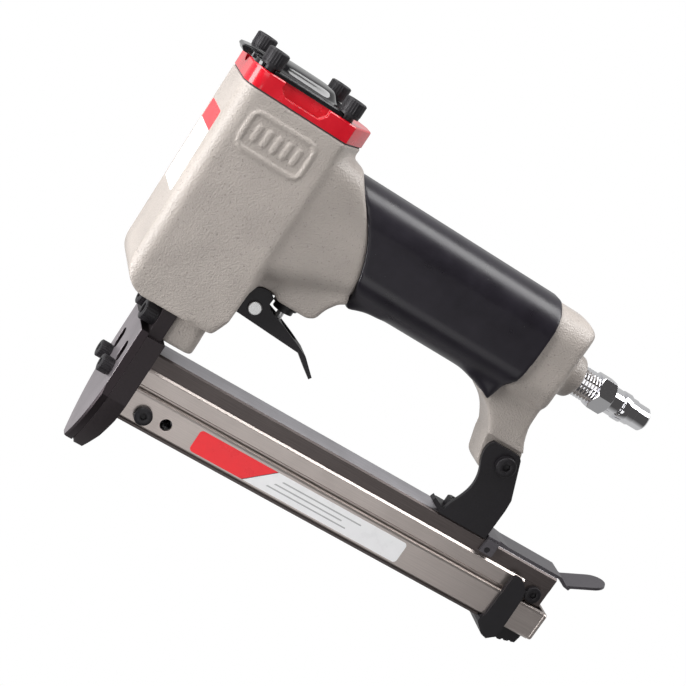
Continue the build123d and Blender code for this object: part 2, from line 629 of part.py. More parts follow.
def nose_fasteners():
    face_x = SEAM_X - GUIDE_THICK
    washer = 0.9
    upper = [socket_screw((SEAM_X - washer, y, UPPER_SCREW_Z), (1, 0, 0), M5, 17) for y in UPPER_SCREW_Y]
    lower = [socket_screw((face_x - washer, y, LOWER_SCREW_Z), (1, 0, 0), M4, 11) for y in LOWER_SCREW_Y]
    rings = [tube((SEAM_X - washer, y, UPPER_SCREW_Z), (1, 0, 0), 4.1, M5[2] + 0.1, washer)
             for y in UPPER_SCREW_Y]
    rings += [tube((face_x - washer, y, LOWER_SCREW_Z), (1, 0, 0), 3.3, M4[2] + 0.1, washer)
              for y in LOWER_SCREW_Y]
    return group(upper), group(lower), group(rings)


# ---------------------------------------------------------------- trigger

def trigger():
    """Bent sheet trigger: two cheeks, a finger web and a tab that lifts the valve stem."""
    x, z = TRIGGER_PIN
    cheek = Polyline(
        (22.3, 0, 83.4), (21.8, 0, 76.6), (52.2, 0, 74.7), (61.4, 0, 67.8), (62.2, 0, 69.0),
        (55.6, 0, 74.9), (49.6, 0, 77.6), (41.4, 0, 80.9), (34.0, 0, 83.4), (32.2, 0, 85.4),
        (32.4, 0, 88.0))
    lobe = ThreePointArc((32.4, 0, 88.0), (26.0, 0, 89.2), (22.3, 0, 83.4))
    shell = side_shape(cheek + lobe, TRIGGER_HALF)
    inner = side_prism([(18, 100), (18, 76.6 + TRIGGER_SHEET + 0.1), (53.2, 74.7 + TRIGGER_SHEET),
                        (56.2, 74.9), (70, 100)], TRIGGER_HALF - TRIGGER_SHEET)
    body = shell - inner
    tab_top = STEM_TIP_Z - TRIGGER_TOUCH
    body += side_prism([(35.2, tab_top + 0.4), (35.2, tab_top - 0.8), (42.6, tab_top - 1.8),
                        (42.6, tab_top - 0.6), (VALVE_X, tab_top)], TRIGGER_HALF - TRIGGER_SHEET)
    return body - rod((x, -20, z), (0, 1, 0), PIN_R + RUN_FIT, 40)


def trigger_pin():
    x, z = TRIGGER_PIN
    out = TRIGGER_HALF + 0.3
    pin = rod((x, -out, z), (0, 1, 0), PIN_R, 2 * out + 1.6)
    head = rod((x, -out - 0.9, z), (0, 1, 0), 2.7, 0.9)
    rim = head.edges().filter_by(GeomType.CIRCLE).sort_by(Axis.Y)[0]
    pin += chamfer(rim, 0.25)
    pin -= tube((x, out + 0.1, z), (0, 1, 0), PIN_R + 1, PIN_R - 0.5, 0.7)
    clip = tube((x, out + 0.15, z), (0, 1, 0), 3.4, PIN_R - 0.45, 0.6)
    clip -= block(x - 1.2, x + 1.2, out, out + 2, z - 5, z)
    return pin, clip


def trigger_valve():
    """Valve in the casting behind the trigger: bushing, stem, seals and spring."""
    foot = VALVE_FACE_Z
    bushing = rod((VALVE_X, 0, foot), (0, 0, 1), VALVE_BODY_R, VALVE_BODY_HIGH)
    bushing += rod((VALVE_X, 0, foot - 2.4), (0, 0, 1), 5.2, 2.4)
    bushing += rod((VALVE_X, 0, foot - 4.4), (0, 0, 1), 4.2, 2.0)
    seals = []
    for high in (3.5, 8.5):
        bushing -= tube((VALVE_X, 0, foot + high - 0.6), (0, 0, 1), 5, VALVE_BODY_R - 0.9, 1.2)
        seals.append(ring((VALVE_X, 0, foot + high), (0, 0, 1), VALVE_BODY_R - 0.42, 0.8))
    bushing -= rod((VALVE_X, 0, foot - 5), (0, 0, 1), STEM_R + RUN_FIT, 14)
    bushing -= rod((VALVE_X, 0, foot + 6), (0, 0, 1), 2.9, 8)
    stem = rod((VALVE_X, 0, STEM_TIP_Z), (0, 0, 1), STEM_R, foot + 6.2 - STEM_TIP_Z)
    stem = chamfer(stem.edges().filter_by(GeomType.CIRCLE).sort_by(Axis.Z)[0], 0.4)
    stem += rod((VALVE_X, 0, foot + 6.1), (0, 0, 1), 2.6, 1.6)
    spring_low = foot + 8.1
    spring = coil((VALVE_X, 0, spring_low), (0, 0, 1), 1.9, 0.5, 5, 8.0)
    return bushing, group(seals), stem, spring


# ---------------------------------------------------------------- air inlet

def air_plug():
    """Male quick-connect plug with a taper thread, a hexagon and a ringed nipple."""
    start = INLET_BOSS_END
    x = start + THREAD_LONG
    shape = rod((start - 10, 0, INLET_Z), (1, 0, 0), INLET_THREAD_R - SCREW_FIT, 10)
    pitch = THREAD_LONG / THREAD_TURNS
    for turn in range(THREAD_TURNS):
        place = start + pitch * turn
        lower = Plane(origin=(place, 0, INLET_Z), z_dir=(1, 0, 0))
        shape += Solid.make_cone(INLET_THREAD_R - 0.9, INLET_THREAD_R, pitch / 2, lower)
        upper = Plane(origin=(place + pitch / 2, 0, INLET_Z), z_dir=(1, 0, 0))
        shape += Solid.make_cone(INLET_THREAD_R, INLET_THREAD_R - 0.9, pitch / 2, upper)
    plane = Plane(origin=(x, 0, INLET_Z), x_dir=(0, 1, 0), z_dir=(1, 0, 0))
    nut = extrude(plane * RegularPolygon(7, 6, major_radius=False), amount=PLUG_HEX_LONG)
    dressed = Solid.make_cone(7.0, 8.3, 1.2, Plane(origin=(x, 0, INLET_Z), z_dir=(1, 0, 0)))
    dressed += rod((x + 1.2, 0, INLET_Z), (1, 0, 0), 8.3, 5.4)
    dressed += Solid.make_cone(8.3, 7.0, 1.0, Plane(origin=(x + 6.6, 0, INLET_Z), z_dir=(1, 0, 0)))
    shape += nut & dressed
    nipple = [(5.85, 4.4), (5.0, 1.6), (6.15, 3.2), (5.5, 3.6), (5.1, 6.6)]
    place = x + PLUG_HEX_LONG
    for radius, length in nipple:
        shape += rod((place, 0, INLET_Z), (1, 0, 0), radius, length)
        place += length
    rim = shape.edges().filter_by(GeomType.CIRCLE).sort_by(Axis.X)[-1]
    shape = chamfer(rim, 0.8)
    return shape - rod((start - 12, 0, INLET_Z), (1, 0, 0), 3.0, 60)


# ---------------------------------------------------------------- magazine

def magazine_rail():
    """Fixed top rail: a folded channel, open below."""
    inner = RAIL_HALF - RAIL_WALL
    section = mirrored([(RAIL_HALF, RAIL_LOW), (RAIL_HALF, RAIL_TOP - 0.8), (RAIL_HALF - 0.8, RAIL_TOP)])
    body = cross_prism(section, NOSE_BACK, RAIL_BACK)
    body -= block(0, RAIL_BACK + 1, -inner, inner, RAIL_LOW - 1, RAIL_TOP - RAIL_WEB)
    x, z = LATCH_PIVOT
    body -= rod((x, -20, z), (0, 1, 0), LATCH_PIN_R + SEAT_FIT, 40)
    return body - rod((FOOT_SCREW_X, 0, 40), (0, 0, 1), M4[2] + CLEAR_HOLE, 20)


def magazine_liner():
    """Fixed steel channel under the rail; its feet carry the drawer."""
    out, inn = LINER_HALF, LINER_HALF - LINER_WALL
    low_out = LINER_HALF - LINER_STEP
    low_in = low_out - LINER_WALL
    top = RAIL_LOW
    half = [
        (low_in, FOOT_LOW), (FOOT_OUT, FOOT_LOW), (FOOT_OUT, FOOT_LOW + FOOT_HIGH),
        (low_out, FOOT_LOW + FOOT_HIGH), (low_out, LINER_STEP_Z), (out, LINER_STEP_Z + 0.3),
        (out, top - 1.0), (out - 1.0, top)]
    hollow = [
        (low_in, FOOT_LOW - 1), (low_in, LINER_STEP_Z + 0.6), (inn, LINER_STEP_Z + 1.0),
        (inn, top - LINER_WALL - 0.2), (inn - 0.2, top - LINER_WALL)]
    x0 = NOSE_BACK
    return cross_prism(mirrored(half), x0, LINER_BACK) - cross_prism(mirrored(hollow), x0 - 1, LINER_BACK + 1)


def rear_block():
    """Block that closes the rear of the rail, with its clamp screw."""
    x0, x1 = LINER_BACK + 0.2, RAIL_BACK
    body = block(x0, x1, -RAIL_HALF, RAIL_HALF, DRAWER_TOP + 0.6, RAIL_LOW)
    inner = RAIL_HALF - RAIL_WALL - SEAT_FIT
    body += block(x0, x1, -inner, inner, RAIL_LOW - 1, RAIL_TOP - RAIL_WEB - SEAT_FIT)
    x, z = 191.9, 37.4
    body -= rod((x, -20, z), (0, 1, 0), M4[2], 40)
    screw = socket_screw((x, -RAIL_HALF, z), (0, 1, 0), LOW_M4, 2 * RAIL_HALF)
    return body, screw


def magazine_drawer():
    """Sliding lower channel with lips that hook over the liner's feet."""
    out, wall = DRAWER_HALF, DRAWER_WALL
    lip = LINER_HALF - LINER_STEP + 0.9
    half = [(out - 1.0, DRAWER_LOW), (out, DRAWER_LOW + 1.0), (out, DRAWER_TOP - 1.2),
            (out - 0.35, DRAWER_TOP - 0.35), (out - 1.2, DRAWER_TOP)]
    x0 = NOSE_BACK + 0.2
    body = cross_prism(mirrored(half), x0, DRAWER_BACK)
    body -= block(x0 - 1, DRAWER_BACK + 1, -out + wall, out - wall, DRAWER_LOW + wall, DRAWER_TOP - wall)
    body -= block(x0 - 1, DRAWER_BACK + 1, -lip, lip, DRAWER_TOP - wall - 1, DRAWER_TOP + 1)
    x, z = DRAWER_SCREW
    body -= rod((x, -20, z), (0, 1, 0), M4[2] + 0.1, 40)
    return body - rod((x + PEEP_OUT, -20, z + 0.9), (0, 1, 0), PEEP_R, 12)


DRAWER_SCREW = (13.6, 25.0)
PEEP_OUT = 9.6           # open hole behind the drawer's screw
PEEP_R = 2.4


def feed_track():
    """Inner track that guides the strip of points and holds the pusher."""
    x0 = NOSE_BACK + 0.2
    floor = DRAWER_LOW + DRAWER_WALL
    body = block(x0, TRACK_BACK, -TRACK_HALF, TRACK_HALF, floor, FOOT_LOW - 0.4)
    body -= block(x0 - 1, TRACK_BACK - 4, -FEED_HALF, FEED_HALF, FEED_FLOOR_Z + 0.4, 40)
    spacer = 2 * (DRAWER_HALF - DRAWER_WALL)
    x, z = DRAWER_SCREW
    body += block(x0, x0 + 22, -spacer / 2, -TRACK_HALF, floor, FOOT_LOW - 0.4)
    body += block(x0, x0 + 22, TRACK_HALF, spacer / 2, floor, FOOT_LOW - 0.4)
    body -= rod((x, -20, z), (0, 1, 0), M4[2], 20 - FEED_HALF)
    body -= rod((x, FEED_HALF, z), (0, 1, 0), M4[2], 20)
    body -= rod((x + PEEP_OUT, -20, z + 0.9), (0, 1, 0), PEEP_R, 20 - FEED_HALF)
    return body - rod((TRACK_BACK - 5, 0, ROD_Z), (1, 0, 0), ROD_R + SEAT_FIT, 10)


ROD_Z = 27.4


def drawer_fittings():
    x, z = DRAWER_SCREW
    length = DRAWER_HALF - FEED_HALF - 0.4
    screws = [socket_screw((x, -DRAWER_HALF, z), (0, 1, 0), LOW_M4, length),
              socket_screw((x, DRAWER_HALF, z), (0, -1, 0), LOW_M4, length)]
    runner = block(NOSE_BACK + 0.6, RUNNER_BACK, -RUNNER_HALF, RUNNER_HALF,
                   DRAWER_LOW - RUNNER_THICK, DRAWER_LOW)
    plate_half = DRAWER_HALF + 0.1
    plate = block(DRAWER_BACK, DRAWER_BACK + END_PLATE, -plate_half, plate_half, DRAWER_LOW + 0.2, DRAWER_TOP)
    plate = fillet(plate.edges().filter_by(Axis.X), 1.5)
    rod_long = TRACK_BACK - (NOSE_BACK + PUSHER_LONG) - 2
    guide = rod((TRACK_BACK - rod_long, 0, ROD_Z), (1, 0, 0), ROD_R, rod_long)
    return group(screws), runner, plate, guide


def pull_grip():
    """Band round the drawer with a finger pad under its rear."""
    inner = DRAWER_HALF + 0.05
    outer = 13.5
    band = side_prism([(178.4, 40.6), (179.6, 42.0), (182.4, 42.0), (186.4, 38.6), (187.4, 34.6),
                       (187.9, 18.2), (186.8, 15.0), (184.2, 12.9), (181.4, 13.6), (176.8, 17.6),
                       (176.6, 19.4), (178.0, 22.0)], outer)
    band = fillet(band.edges().filter_by(Axis.Y).sort_by(Axis.Z)[-3:], 0.6)
    hollow = block(170, 195, -inner, inner, DRAWER_LOW - 0.02, 60)
    pad = side_prism([(187.0, 18.6), (199.2, 18.6), (198.6, 15.6), (192.0, 13.7), (186.6, 13.0)], 8.5)
    pad += block(187.0, 199.2, -8.5, 8.5, 18.5, DRAWER_LOW - 0.02)
    for place in range(3):
        pad -= rod((190.4 + 3.0 * place, -10, 13.2 + 0.75 * place), (0, 1, 0), 0.7, 20)
    return band - hollow + pad


def pusher():
    """Block that feeds the points forward along the track, with its spring."""
    x0 = NOSE_BACK + 1.0
    x1 = x0 + PUSHER_LONG
    half = FEED_HALF - DRAWER_FIT
    body = block(x0, x1, -half, half, FEED_FLOOR_Z + 0.5, FEED_TOP_Z - 0.6)
    body -= rod((x0 - 1, 0, ROD_Z), (1, 0, 0), ROD_R + RUN_FIT, PUSHER_LONG + 2)
    start = x1 + SPRING_WIRE / 2 + 0.05
    length = TRACK_BACK - 4 - SPRING_WIRE / 2 - 0.05 - start
    spring = coil((start, 0, ROD_Z), (1, 0, 0), SPRING_R, SPRING_WIRE, SPRING_TURNS, length)
    return body, spring


# ---------------------------------------------------------------- bracket and latch

def support_bracket():
    """Folded bracket from the arm to the rail: one cheek on a foot with a turned-up front tab."""
    outline = Polyline(
        (139.4, 0, 84.2), (151.8, 0, 84.2), (153.4, 0, 82.8), (160.2, 0, 66.8), (160.6, 0, 62.0),
        (160.4, 0, RAIL_TOP), (138.0, 0, RAIL_TOP))
    inside = Spline((138.0, 0, RAIL_TOP), (139.0, 0, 53.6), (141.2, 0, 58.8), (142.4, 0, 64.8),
                    (141.0, 0, 71.2), (138.6, 0, 76.0), (138.2, 0, 82.6))
    corner = Line((138.2, 0, 82.6), (139.4, 0, 84.2))
    shell = side_shape(outline + inside + corner, BRACKET_HALF)
    inner = BRACKET_HALF - BRACKET_SHEET
    body = shell - block(120, 180, -inner, 30, RAIL_TOP + BRACKET_SHEET, 100)
    body -= block(120, 180, FOOT_FAR, 30, RAIL_TOP - 1, 100)
    tab = side_prism([(139.6, RAIL_TOP), (137.4, RAIL_TOP), (131.8, RAIL_TOP + 3.1), (132.4, RAIL_TOP + 4.9),
                      (138.4, RAIL_TOP + BRACKET_SHEET), (139.6, RAIL_TOP + BRACKET_SHEET)], BRACKET_HALF)
    body += tab - block(120, 180, -BRACKET_HALF + TAB_WIDE, 30, RAIL_TOP - 1, 100)
    x, z = BRACKET_SCREW
    body -= rod((x, -20, z), (0, 1, 0), LOW_M5[2] + CLEAR_HOLE, 40)
    return body - rod((FOOT_SCREW_X, 0, RAIL_TOP - 1), (0, 0, 1), M4[2] + CLEAR_HOLE, 5)


def bracket_fasteners():
    x, z = BRACKET_SCREW
    cross = socket_screw((x, -BRACKET_HALF, z), (0, 1, 0), LOW_M5, BRACKET_HALF + ARM_HALF + 5)
    cross_nut = hex_nut((x, ARM_HALF, z), (0, 1, 0), 8.0, 4.0, LOW_M5[2])
    foot_z = RAIL_TOP + BRACKET_SHEET
    foot = socket_screw((FOOT_SCREW_X, 0, foot_z), (0, 0, -1), M4, foot_z - RAIL_LOW - 1.2)
    nut_top = RAIL_TOP - RAIL_WEB
    foot_nut = hex_nut((FOOT_SCREW_X, 0, nut_top), (0, 0, -1), 7.0, 3.0, M4[2])
    return cross, cross_nut, foot, foot_nut


def latch_lever():
    """Latch plate on the rail: saddle ears at its pivot and a thumb tongue behind."""
    low = RAIL_TOP + 0.1
    top = low + LATCH_SHEET
    x, z = LATCH_PIVOT
    saddle = side_prism([(x - 2.3, low + 0.4), (x - 0.6, low), (x + 3.4, low), (x + 3.4, top + 0.7),
                         (x - 2.3, top + 0.7)], LATCH_SADDLE_HALF)
    saddle -= block(x - 5, x + 5, -30, -LATCH_SADDLE_HALF + 0.9, top - 0.2, top + 5)
    saddle -= block(x - 5, x + 5, LATCH_SADDLE_HALF - 0.9, 30, top - 0.2, top + 5)
    ears = side_prism([(x - 2.3, top - 0.2), (x - 2.8, z - 1.8), (x + 3.4, z - 1.8), (x + 3.4, top - 0.2)],
                      LATCH_SADDLE_HALF)
    ears -= block(x - 9, x + 9, -RAIL_HALF - 0.25, RAIL_HALF + 0.25, z - 5, low + 0.4)
    end = RAIL_BACK + 1.2
    leaf = side_prism([(x + 3, low), (end, low), (end + 3.4, low - 1.9), (end + 6.2, low - 2.3),
                       (end + 6.6, low - 1.2), (end + 4.0, low - 0.7), (end + 0.5, top),
                       (x + 8.6, top), (x + 3, top + 0.7)], LATCH_HALF)
    root = (end + 5.4, low - 2.2)
    slope = (cos(TONGUE_SLOPE * pi / 180), sin(TONGUE_SLOPE * pi / 180))
    plane = Plane(origin=(root[0], 0, root[1]), x_dir=(slope[0], 0, slope[1]), z_dir=(-slope[1], 0, slope[0]))
    straight = TONGUE_LONG - TONGUE_HALF
    flat = Pos(straight / 2, 0) * Rectangle(straight, 2 * TONGUE_HALF)
    flat += Pos(straight, 0) * Circle(TONGUE_HALF)
    tongue = extrude(plane * flat, amount=LATCH_SHEET)
    body = saddle + ears + leaf + tongue
    return body - rod((x, -20, z), (0, 1, 0), LATCH_PIN_R + RUN_FIT, 40)


def latch_pin():
    x, z = LATCH_PIVOT
    return rod((x, -LATCH_SADDLE_HALF, z), (0, 1, 0), LATCH_PIN_R, 2 * LATCH_SADDLE_HALF)


# ---------------------------------------------------------------- labels

def side_label():
    """Foil label on the near side of the drawer."""
    plane = Plane(origin=(84.4, -DRAWER_HALF, 26.4), x_dir=(1, 0, 0), z_dir=(0, -1, 0))
    return extrude(plane * RectangleRounded(97, 9.4, 1.6), amount=0.12)


def front_label():
    """Foil label on the front of the head."""
    lean = (HEAD_FRONT_TOP - HEAD_FRONT_LOW) / (HEAD_TOP - HEAD_BOTTOM - HEAD_CHIN)
    middle = 121.0
    face_x = HEAD_FRONT_LOW + lean * (middle - HEAD_BOTTOM - HEAD_CHIN)
    plane = Plane(origin=(face_x, 0, middle), x_dir=(0, -1, 0), z_dir=(-1, 0, lean))
    return extrude(plane * RectangleRounded(26, 34, 1.5), amount=0.12)


# ---------------------------------------------------------------- the whole tool

def all_pieces():
    pieces = {"body_casting": body_casting(), "grip_sleeve": grip_sleeve(), "air_plug": air_plug()}
    pieces["cap_gasket"], pieces["cylinder_cap"] = cap_pieces()
    pieces["exhaust_plate"] = exhaust_plate()
    pieces["cap_screws"], pieces["cap_spring_washers"] = cap_screws()
    pieces["head_valve"], pieces["head_valve_seal"], pieces["head_valve_spring"] = head_valve()
    pieces["cylinder"], pieces["cylinder_seals"] = cylinder()
    pieces["bumper"] = bumper()
    pieces["piston"], pieces["piston_seal"], pieces["driver_blade"], pieces["driver_pin"] = driver()
    pieces["nose_body"] = nose_body()
    pieces["driver_guide_plate"] = driver_guide_plate()
    upper, lower, rings = nose_fasteners()
    pieces["nose_upper_screws"] = upper
    pieces["nose_lower_screws"] = lower
    pieces["nose_spring_washers"] = rings
    pieces["trigger"] = trigger()
    pieces["trigger_pin"], pieces["trigger_pin_clip"] = trigger_pin()
    bushing, seals, stem, spring = trigger_valve()
    pieces["valve_bushing"] = bushing
    pieces["valve_bushing_seals"] = seals
    pieces["valve_stem"] = stem
    pieces["valve_spring"] = spring
    pieces["magazine_rail"] = magazine_rail()
    pieces["magazine_liner"] = magazine_liner()
    pieces["rear_block"], pieces["rear_block_screw"] = rear_block()
    pieces["magazine_drawer"] = magazine_drawer()
    pieces["feed_track"] = feed_track()
    screws, runner, plate, guide = drawer_fittings()
    pieces["drawer_screws"] = screws
    pieces["drawer_runner"] = runner
    pieces["drawer_end_plate"] = plate
    pieces["pusher_rod"] = guide
    pieces["pull_grip"] = pull_grip()
    pieces["pusher"], pieces["pusher_spring"] = pusher()
    pieces["support_bracket"] = support_bracket()
    cross, cross_nut, foot, foot_nut = bracket_fasteners()
    pieces["bracket_screw"] = cross
    pieces["bracket_nut"] = cross_nut
    pieces["foot_screw"] = foot
    pieces["foot_nut"] = foot_nut
    pieces["latch_lever"] = latch_lever()
    pieces["latch_pin"] = latch_pin()
    pieces["side_label"] = side_label()
    pieces["front_label"] = front_label()
    return pieces


def main():
    os.makedirs("parts", exist_ok=True)
    for name, shape in all_pieces().items():
        export_step(shape, f"parts/{name}.step")


main()
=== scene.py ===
import json
from math import cos, pi, radians, sin

import bmesh
import bpy
from bpy.props import FloatProperty, FloatVectorProperty, IntProperty, PointerProperty
from bpy.types import Operator, Panel, PropertyGroup
from mathutils import Matrix, Vector

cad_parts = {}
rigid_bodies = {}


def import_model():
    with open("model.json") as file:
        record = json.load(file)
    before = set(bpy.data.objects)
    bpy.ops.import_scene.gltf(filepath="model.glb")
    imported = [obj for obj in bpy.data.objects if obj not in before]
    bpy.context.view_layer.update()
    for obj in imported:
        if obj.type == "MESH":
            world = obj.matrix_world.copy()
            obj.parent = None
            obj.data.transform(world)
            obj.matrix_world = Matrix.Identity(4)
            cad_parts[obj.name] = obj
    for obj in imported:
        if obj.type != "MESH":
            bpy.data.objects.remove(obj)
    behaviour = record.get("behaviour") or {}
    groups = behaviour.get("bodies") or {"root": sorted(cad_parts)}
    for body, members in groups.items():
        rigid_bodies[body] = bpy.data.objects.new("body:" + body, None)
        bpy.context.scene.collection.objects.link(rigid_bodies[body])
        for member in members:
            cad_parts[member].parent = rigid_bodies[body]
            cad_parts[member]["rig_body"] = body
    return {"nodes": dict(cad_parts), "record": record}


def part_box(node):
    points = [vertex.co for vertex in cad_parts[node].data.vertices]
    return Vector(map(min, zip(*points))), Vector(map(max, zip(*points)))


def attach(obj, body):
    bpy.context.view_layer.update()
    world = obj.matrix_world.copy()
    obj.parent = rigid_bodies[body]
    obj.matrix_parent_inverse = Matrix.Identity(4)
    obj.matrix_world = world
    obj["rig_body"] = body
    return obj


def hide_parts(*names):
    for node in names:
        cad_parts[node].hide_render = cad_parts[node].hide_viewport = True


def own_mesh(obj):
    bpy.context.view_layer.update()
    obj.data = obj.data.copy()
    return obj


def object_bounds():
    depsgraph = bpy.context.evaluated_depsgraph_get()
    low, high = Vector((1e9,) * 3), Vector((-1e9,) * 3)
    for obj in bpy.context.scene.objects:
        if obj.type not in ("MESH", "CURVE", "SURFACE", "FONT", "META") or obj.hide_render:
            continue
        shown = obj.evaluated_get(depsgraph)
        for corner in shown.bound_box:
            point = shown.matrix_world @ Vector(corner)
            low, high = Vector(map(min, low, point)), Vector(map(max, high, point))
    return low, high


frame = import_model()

CAD_LOW, CAD_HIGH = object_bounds()
MM = 0.001
LOOK_AT = Vector((67.08 * MM, 0, 85.57 * MM))
SLOTS = {part["node"]: part["material_slot"] for part in frame["record"]["subparts"]}
OWN_FINISH = {"front_label": "front_label", "side_label": "side_label", "latch_pin": "black_oxide"}

bl_info = {
    "name": "Pneumatic Point Tacker",
    "version": (1, 0, 0),
    "blender": (4, 5, 0),
    "location": "View3D > Sidebar > Tacker",
    "description": "Builds the shapes, finishes and studio of a compressed-air point tacker",
    "category": "Object",
}


# ---------------------------------------------------------------- settings

class TackerStudioSettings(PropertyGroup):
    lens: FloatProperty(
        name="Lens", description="Focal length of the camera", default=91.22, min=20, max=300,
        subtype="DISTANCE_CAMERA", unit="CAMERA")
    distance: FloatProperty(
        name="Distance", description="From the camera to the middle of the tacker",
        default=0.66994, min=0.2, max=5, subtype="DISTANCE", unit="LENGTH")
    around: FloatProperty(
        name="Around", description="Camera's turn round the upright", default=radians(-18.46),
        subtype="ANGLE", unit="ROTATION")
    above: FloatProperty(
        name="Above", description="Camera's height over the horizon", default=radians(10.59),
        subtype="ANGLE", unit="ROTATION")
    roll: FloatProperty(
        name="Roll", description="Camera's turn round its own line of sight",
        default=radians(34.11), subtype="ANGLE", unit="ROTATION")
    key_power: FloatProperty(
        name="Key light", description="Power of the large soft light above", default=3.7, min=0,
        max=100, subtype="POWER", unit="POWER")
    ambient: FloatProperty(
        name="Ambient", description="Strength of the room's own light", default=0.55, min=0, max=5)


class TackerCastingSettings(PropertyGroup):
    paint: FloatVectorProperty(
        name="Paint", description="Main colour of the hammered powder coat",
        default=(0.392, 0.352, 0.322), min=0, max=1, subtype="COLOR")
    cap_paint: FloatVectorProperty(
        name="Cap paint", description="Colour of the gloss coat on the cylinder cap",
        default=(0.600, 0.006, 0.018), min=0, max=1, subtype="COLOR")
    grain: FloatProperty(
        name="Skin grain", description="Size of the cells that the casting is rebuilt from",
        default=0.42 * MM, min=0.3 * MM, max=2 * MM, subtype="DISTANCE", unit="LENGTH")
    blend_passes: IntProperty(
        name="Blend passes", description="How far the casting's inner corners are run together",
        default=110, min=0, max=400)


class TackerRubberSettings(PropertyGroup):
    rubber: FloatVectorProperty(
        name="Rubber", description="Colour of the grip", default=(0.012, 0.010, 0.015), min=0,
        max=1, subtype="COLOR")


class TackerSteelSettings(PropertyGroup):
    drawer_steel: FloatVectorProperty(
        name="Magazine steel", description="Colour of the brushed magazine",
        default=(0.56, 0.50, 0.47), min=0, max=1, subtype="COLOR")
    edge: FloatProperty(
        name="Edge break", description="Width of the broken edges on sheet and turned parts",
        default=0.25 * MM, min=0, max=1 * MM, subtype="DISTANCE", unit="LENGTH")
    knurl: FloatProperty(
        name="Knurl", description="Depth of the knurling on the screw heads", default=0.11 * MM,
        min=0, max=0.4 * MM, subtype="DISTANCE", unit="LENGTH")


class TackerLabelSettings(PropertyGroup):
    red: FloatVectorProperty(
        name="Label red", description="Colour of the labels' red field",
        default=(0.96, 0.042, 0.052), min=0, max=1, subtype="COLOR")
    white: FloatVectorProperty(
        name="Label white", description="Colour of the labels' pale field",
        default=(0.93, 0.93, 0.94), min=0, max=1, subtype="COLOR")


# ---------------------------------------------------------------- mesh helpers

def node_box(node):
    low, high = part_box(node)
    return Vector(low), Vector(high)


def deselect():
    if bpy.context.object and bpy.context.object.mode != "OBJECT":
        bpy.ops.object.mode_set(mode="OBJECT")
    bpy.ops.object.select_all(action="DESELECT")


def take(piece):
    """Makes a piece the only selected and the active one."""
    deselect()
    piece.select_set(True)
    bpy.context.view_layer.objects.active = piece
    return piece


def new_piece(name):
    """Names the primitive that was just added."""
    piece = bpy.context.object
    piece.name = name
    piece.data.name = name
    settle(piece)
    return piece


def pick_faces(piece, test):
    """Selects, in edit mode, the faces whose middle and normal pass a test."""
    take(piece)
    bpy.ops.object.mode_set(mode="EDIT")
    bpy.ops.mesh.select_mode(type="FACE")
    bpy.ops.mesh.select_all(action="DESELECT")
    mesh = bmesh.from_edit_mesh(piece.data)
    found = 0
    for face in mesh.faces:
        if test(face.calc_center_median(), face.normal):
            face.select_set(True)
            found += 1
    mesh.select_flush_mode()
    bmesh.update_edit_mesh(piece.data)
    if not found:
        raise RuntimeError(f"{piece.name}: no face was picked")


def object_mode():
    bpy.ops.object.mode_set(mode="OBJECT")


def apply_modifiers(piece):
    take(piece)
    for modifier in list(piece.modifiers):
        bpy.ops.object.modifier_apply(modifier=modifier.name)


def settle(piece):
    """Puts the piece's place into its mesh, so that its object is at the origin."""
    take(piece)
    bpy.ops.object.transform_apply(location=True, rotation=True, scale=True)


def smooth_by_angle(piece, degrees):
    take(piece)
    bpy.ops.object.shade_smooth_by_angle(angle=radians(degrees))


def merged_copy(node, name):
    """A free copy of a CAD node, its triangles merged into one skin."""
    source = frame["nodes"][node]
    piece = source.copy()
    piece.data = source.data.copy()
    piece.name = name
    piece.data.name = name
    piece.parent = None
    for key in list(piece.keys()):
        del piece[key]
    bpy.context.scene.collection.objects.link(piece)
    take(piece)
    bpy.ops.object.mode_set(mode="EDIT")
    bpy.ops.mesh.select_all(action="SELECT")
    bpy.ops.mesh.remove_doubles(threshold=0.00001)
    object_mode()
    return piece


def remesh(piece, cell):
    modifier = piece.modifiers.new("skin", "REMESH")
    modifier.mode = "VOXEL"
    modifier.voxel_size = cell
    modifier.use_smooth_shade = True
    apply_modifiers(piece)


def soften(piece, passes, weight=None):
    """Smooths a skin, by a share that a function gives for each point."""
    modifier = piece.modifiers.new("soften", "SMOOTH")
    modifier.factor = 0.5
    modifier.iterations = passes
    if weight:
        shares = piece.vertex_groups.new(name="soften")
        for point in piece.data.vertices:
            share = weight(point.co)
            if share > 0:
                shares.add([point.index], share, "REPLACE")
        modifier.vertex_group = shares.name
    apply_modifiers(piece)
    piece.vertex_groups.clear()


def thin_out(piece, most):
    """Brings a skin under a number of triangles."""
    count = sum(len(face.vertices) - 2 for face in piece.data.polygons)
    if count > most:
        modifier = piece.modifiers.new("thin", "DECIMATE")
        modifier.ratio = most / count
        apply_modifiers(piece)
    take(piece)
    bpy.ops.object.shade_smooth()


def ramp(value, start, end):
    """From 0 at start to 1 at end, with an even slope at both."""
    share = min(max((value - start) / (end - start), 0), 1)
    return share * share * (3 - 2 * share)


def within(value, low, high, soft):
    """1 inside a span, falling to 0 over a soft margin on each side."""
    return ramp(value, low - soft, low) * (1 - ramp(value, high, high + soft))


# ---------------------------------------------------------------- shader groups

def shader_group(name, inputs, outputs):
    tree = bpy.data.node_groups.new(name, "ShaderNodeTree")
    for label, kind, default in inputs:
        socket = tree.interface.new_socket(name=label, in_out="INPUT", socket_type=kind)
        if default is not None:
            socket.default_value = default
    for label, kind in outputs:
        tree.interface.new_socket(name=label, in_out="OUTPUT", socket_type=kind)
    return tree, tree.nodes.new("NodeGroupInput"), tree.nodes.new("NodeGroupOutput")


def add(tree, kind, **settings):
    node = tree.nodes.new(kind)
    for key, value in settings.items():
        if hasattr(node, key):
            setattr(node, key, value)
        else:
            node.inputs[key.replace("_", " ").title()].default_value = value
    return node


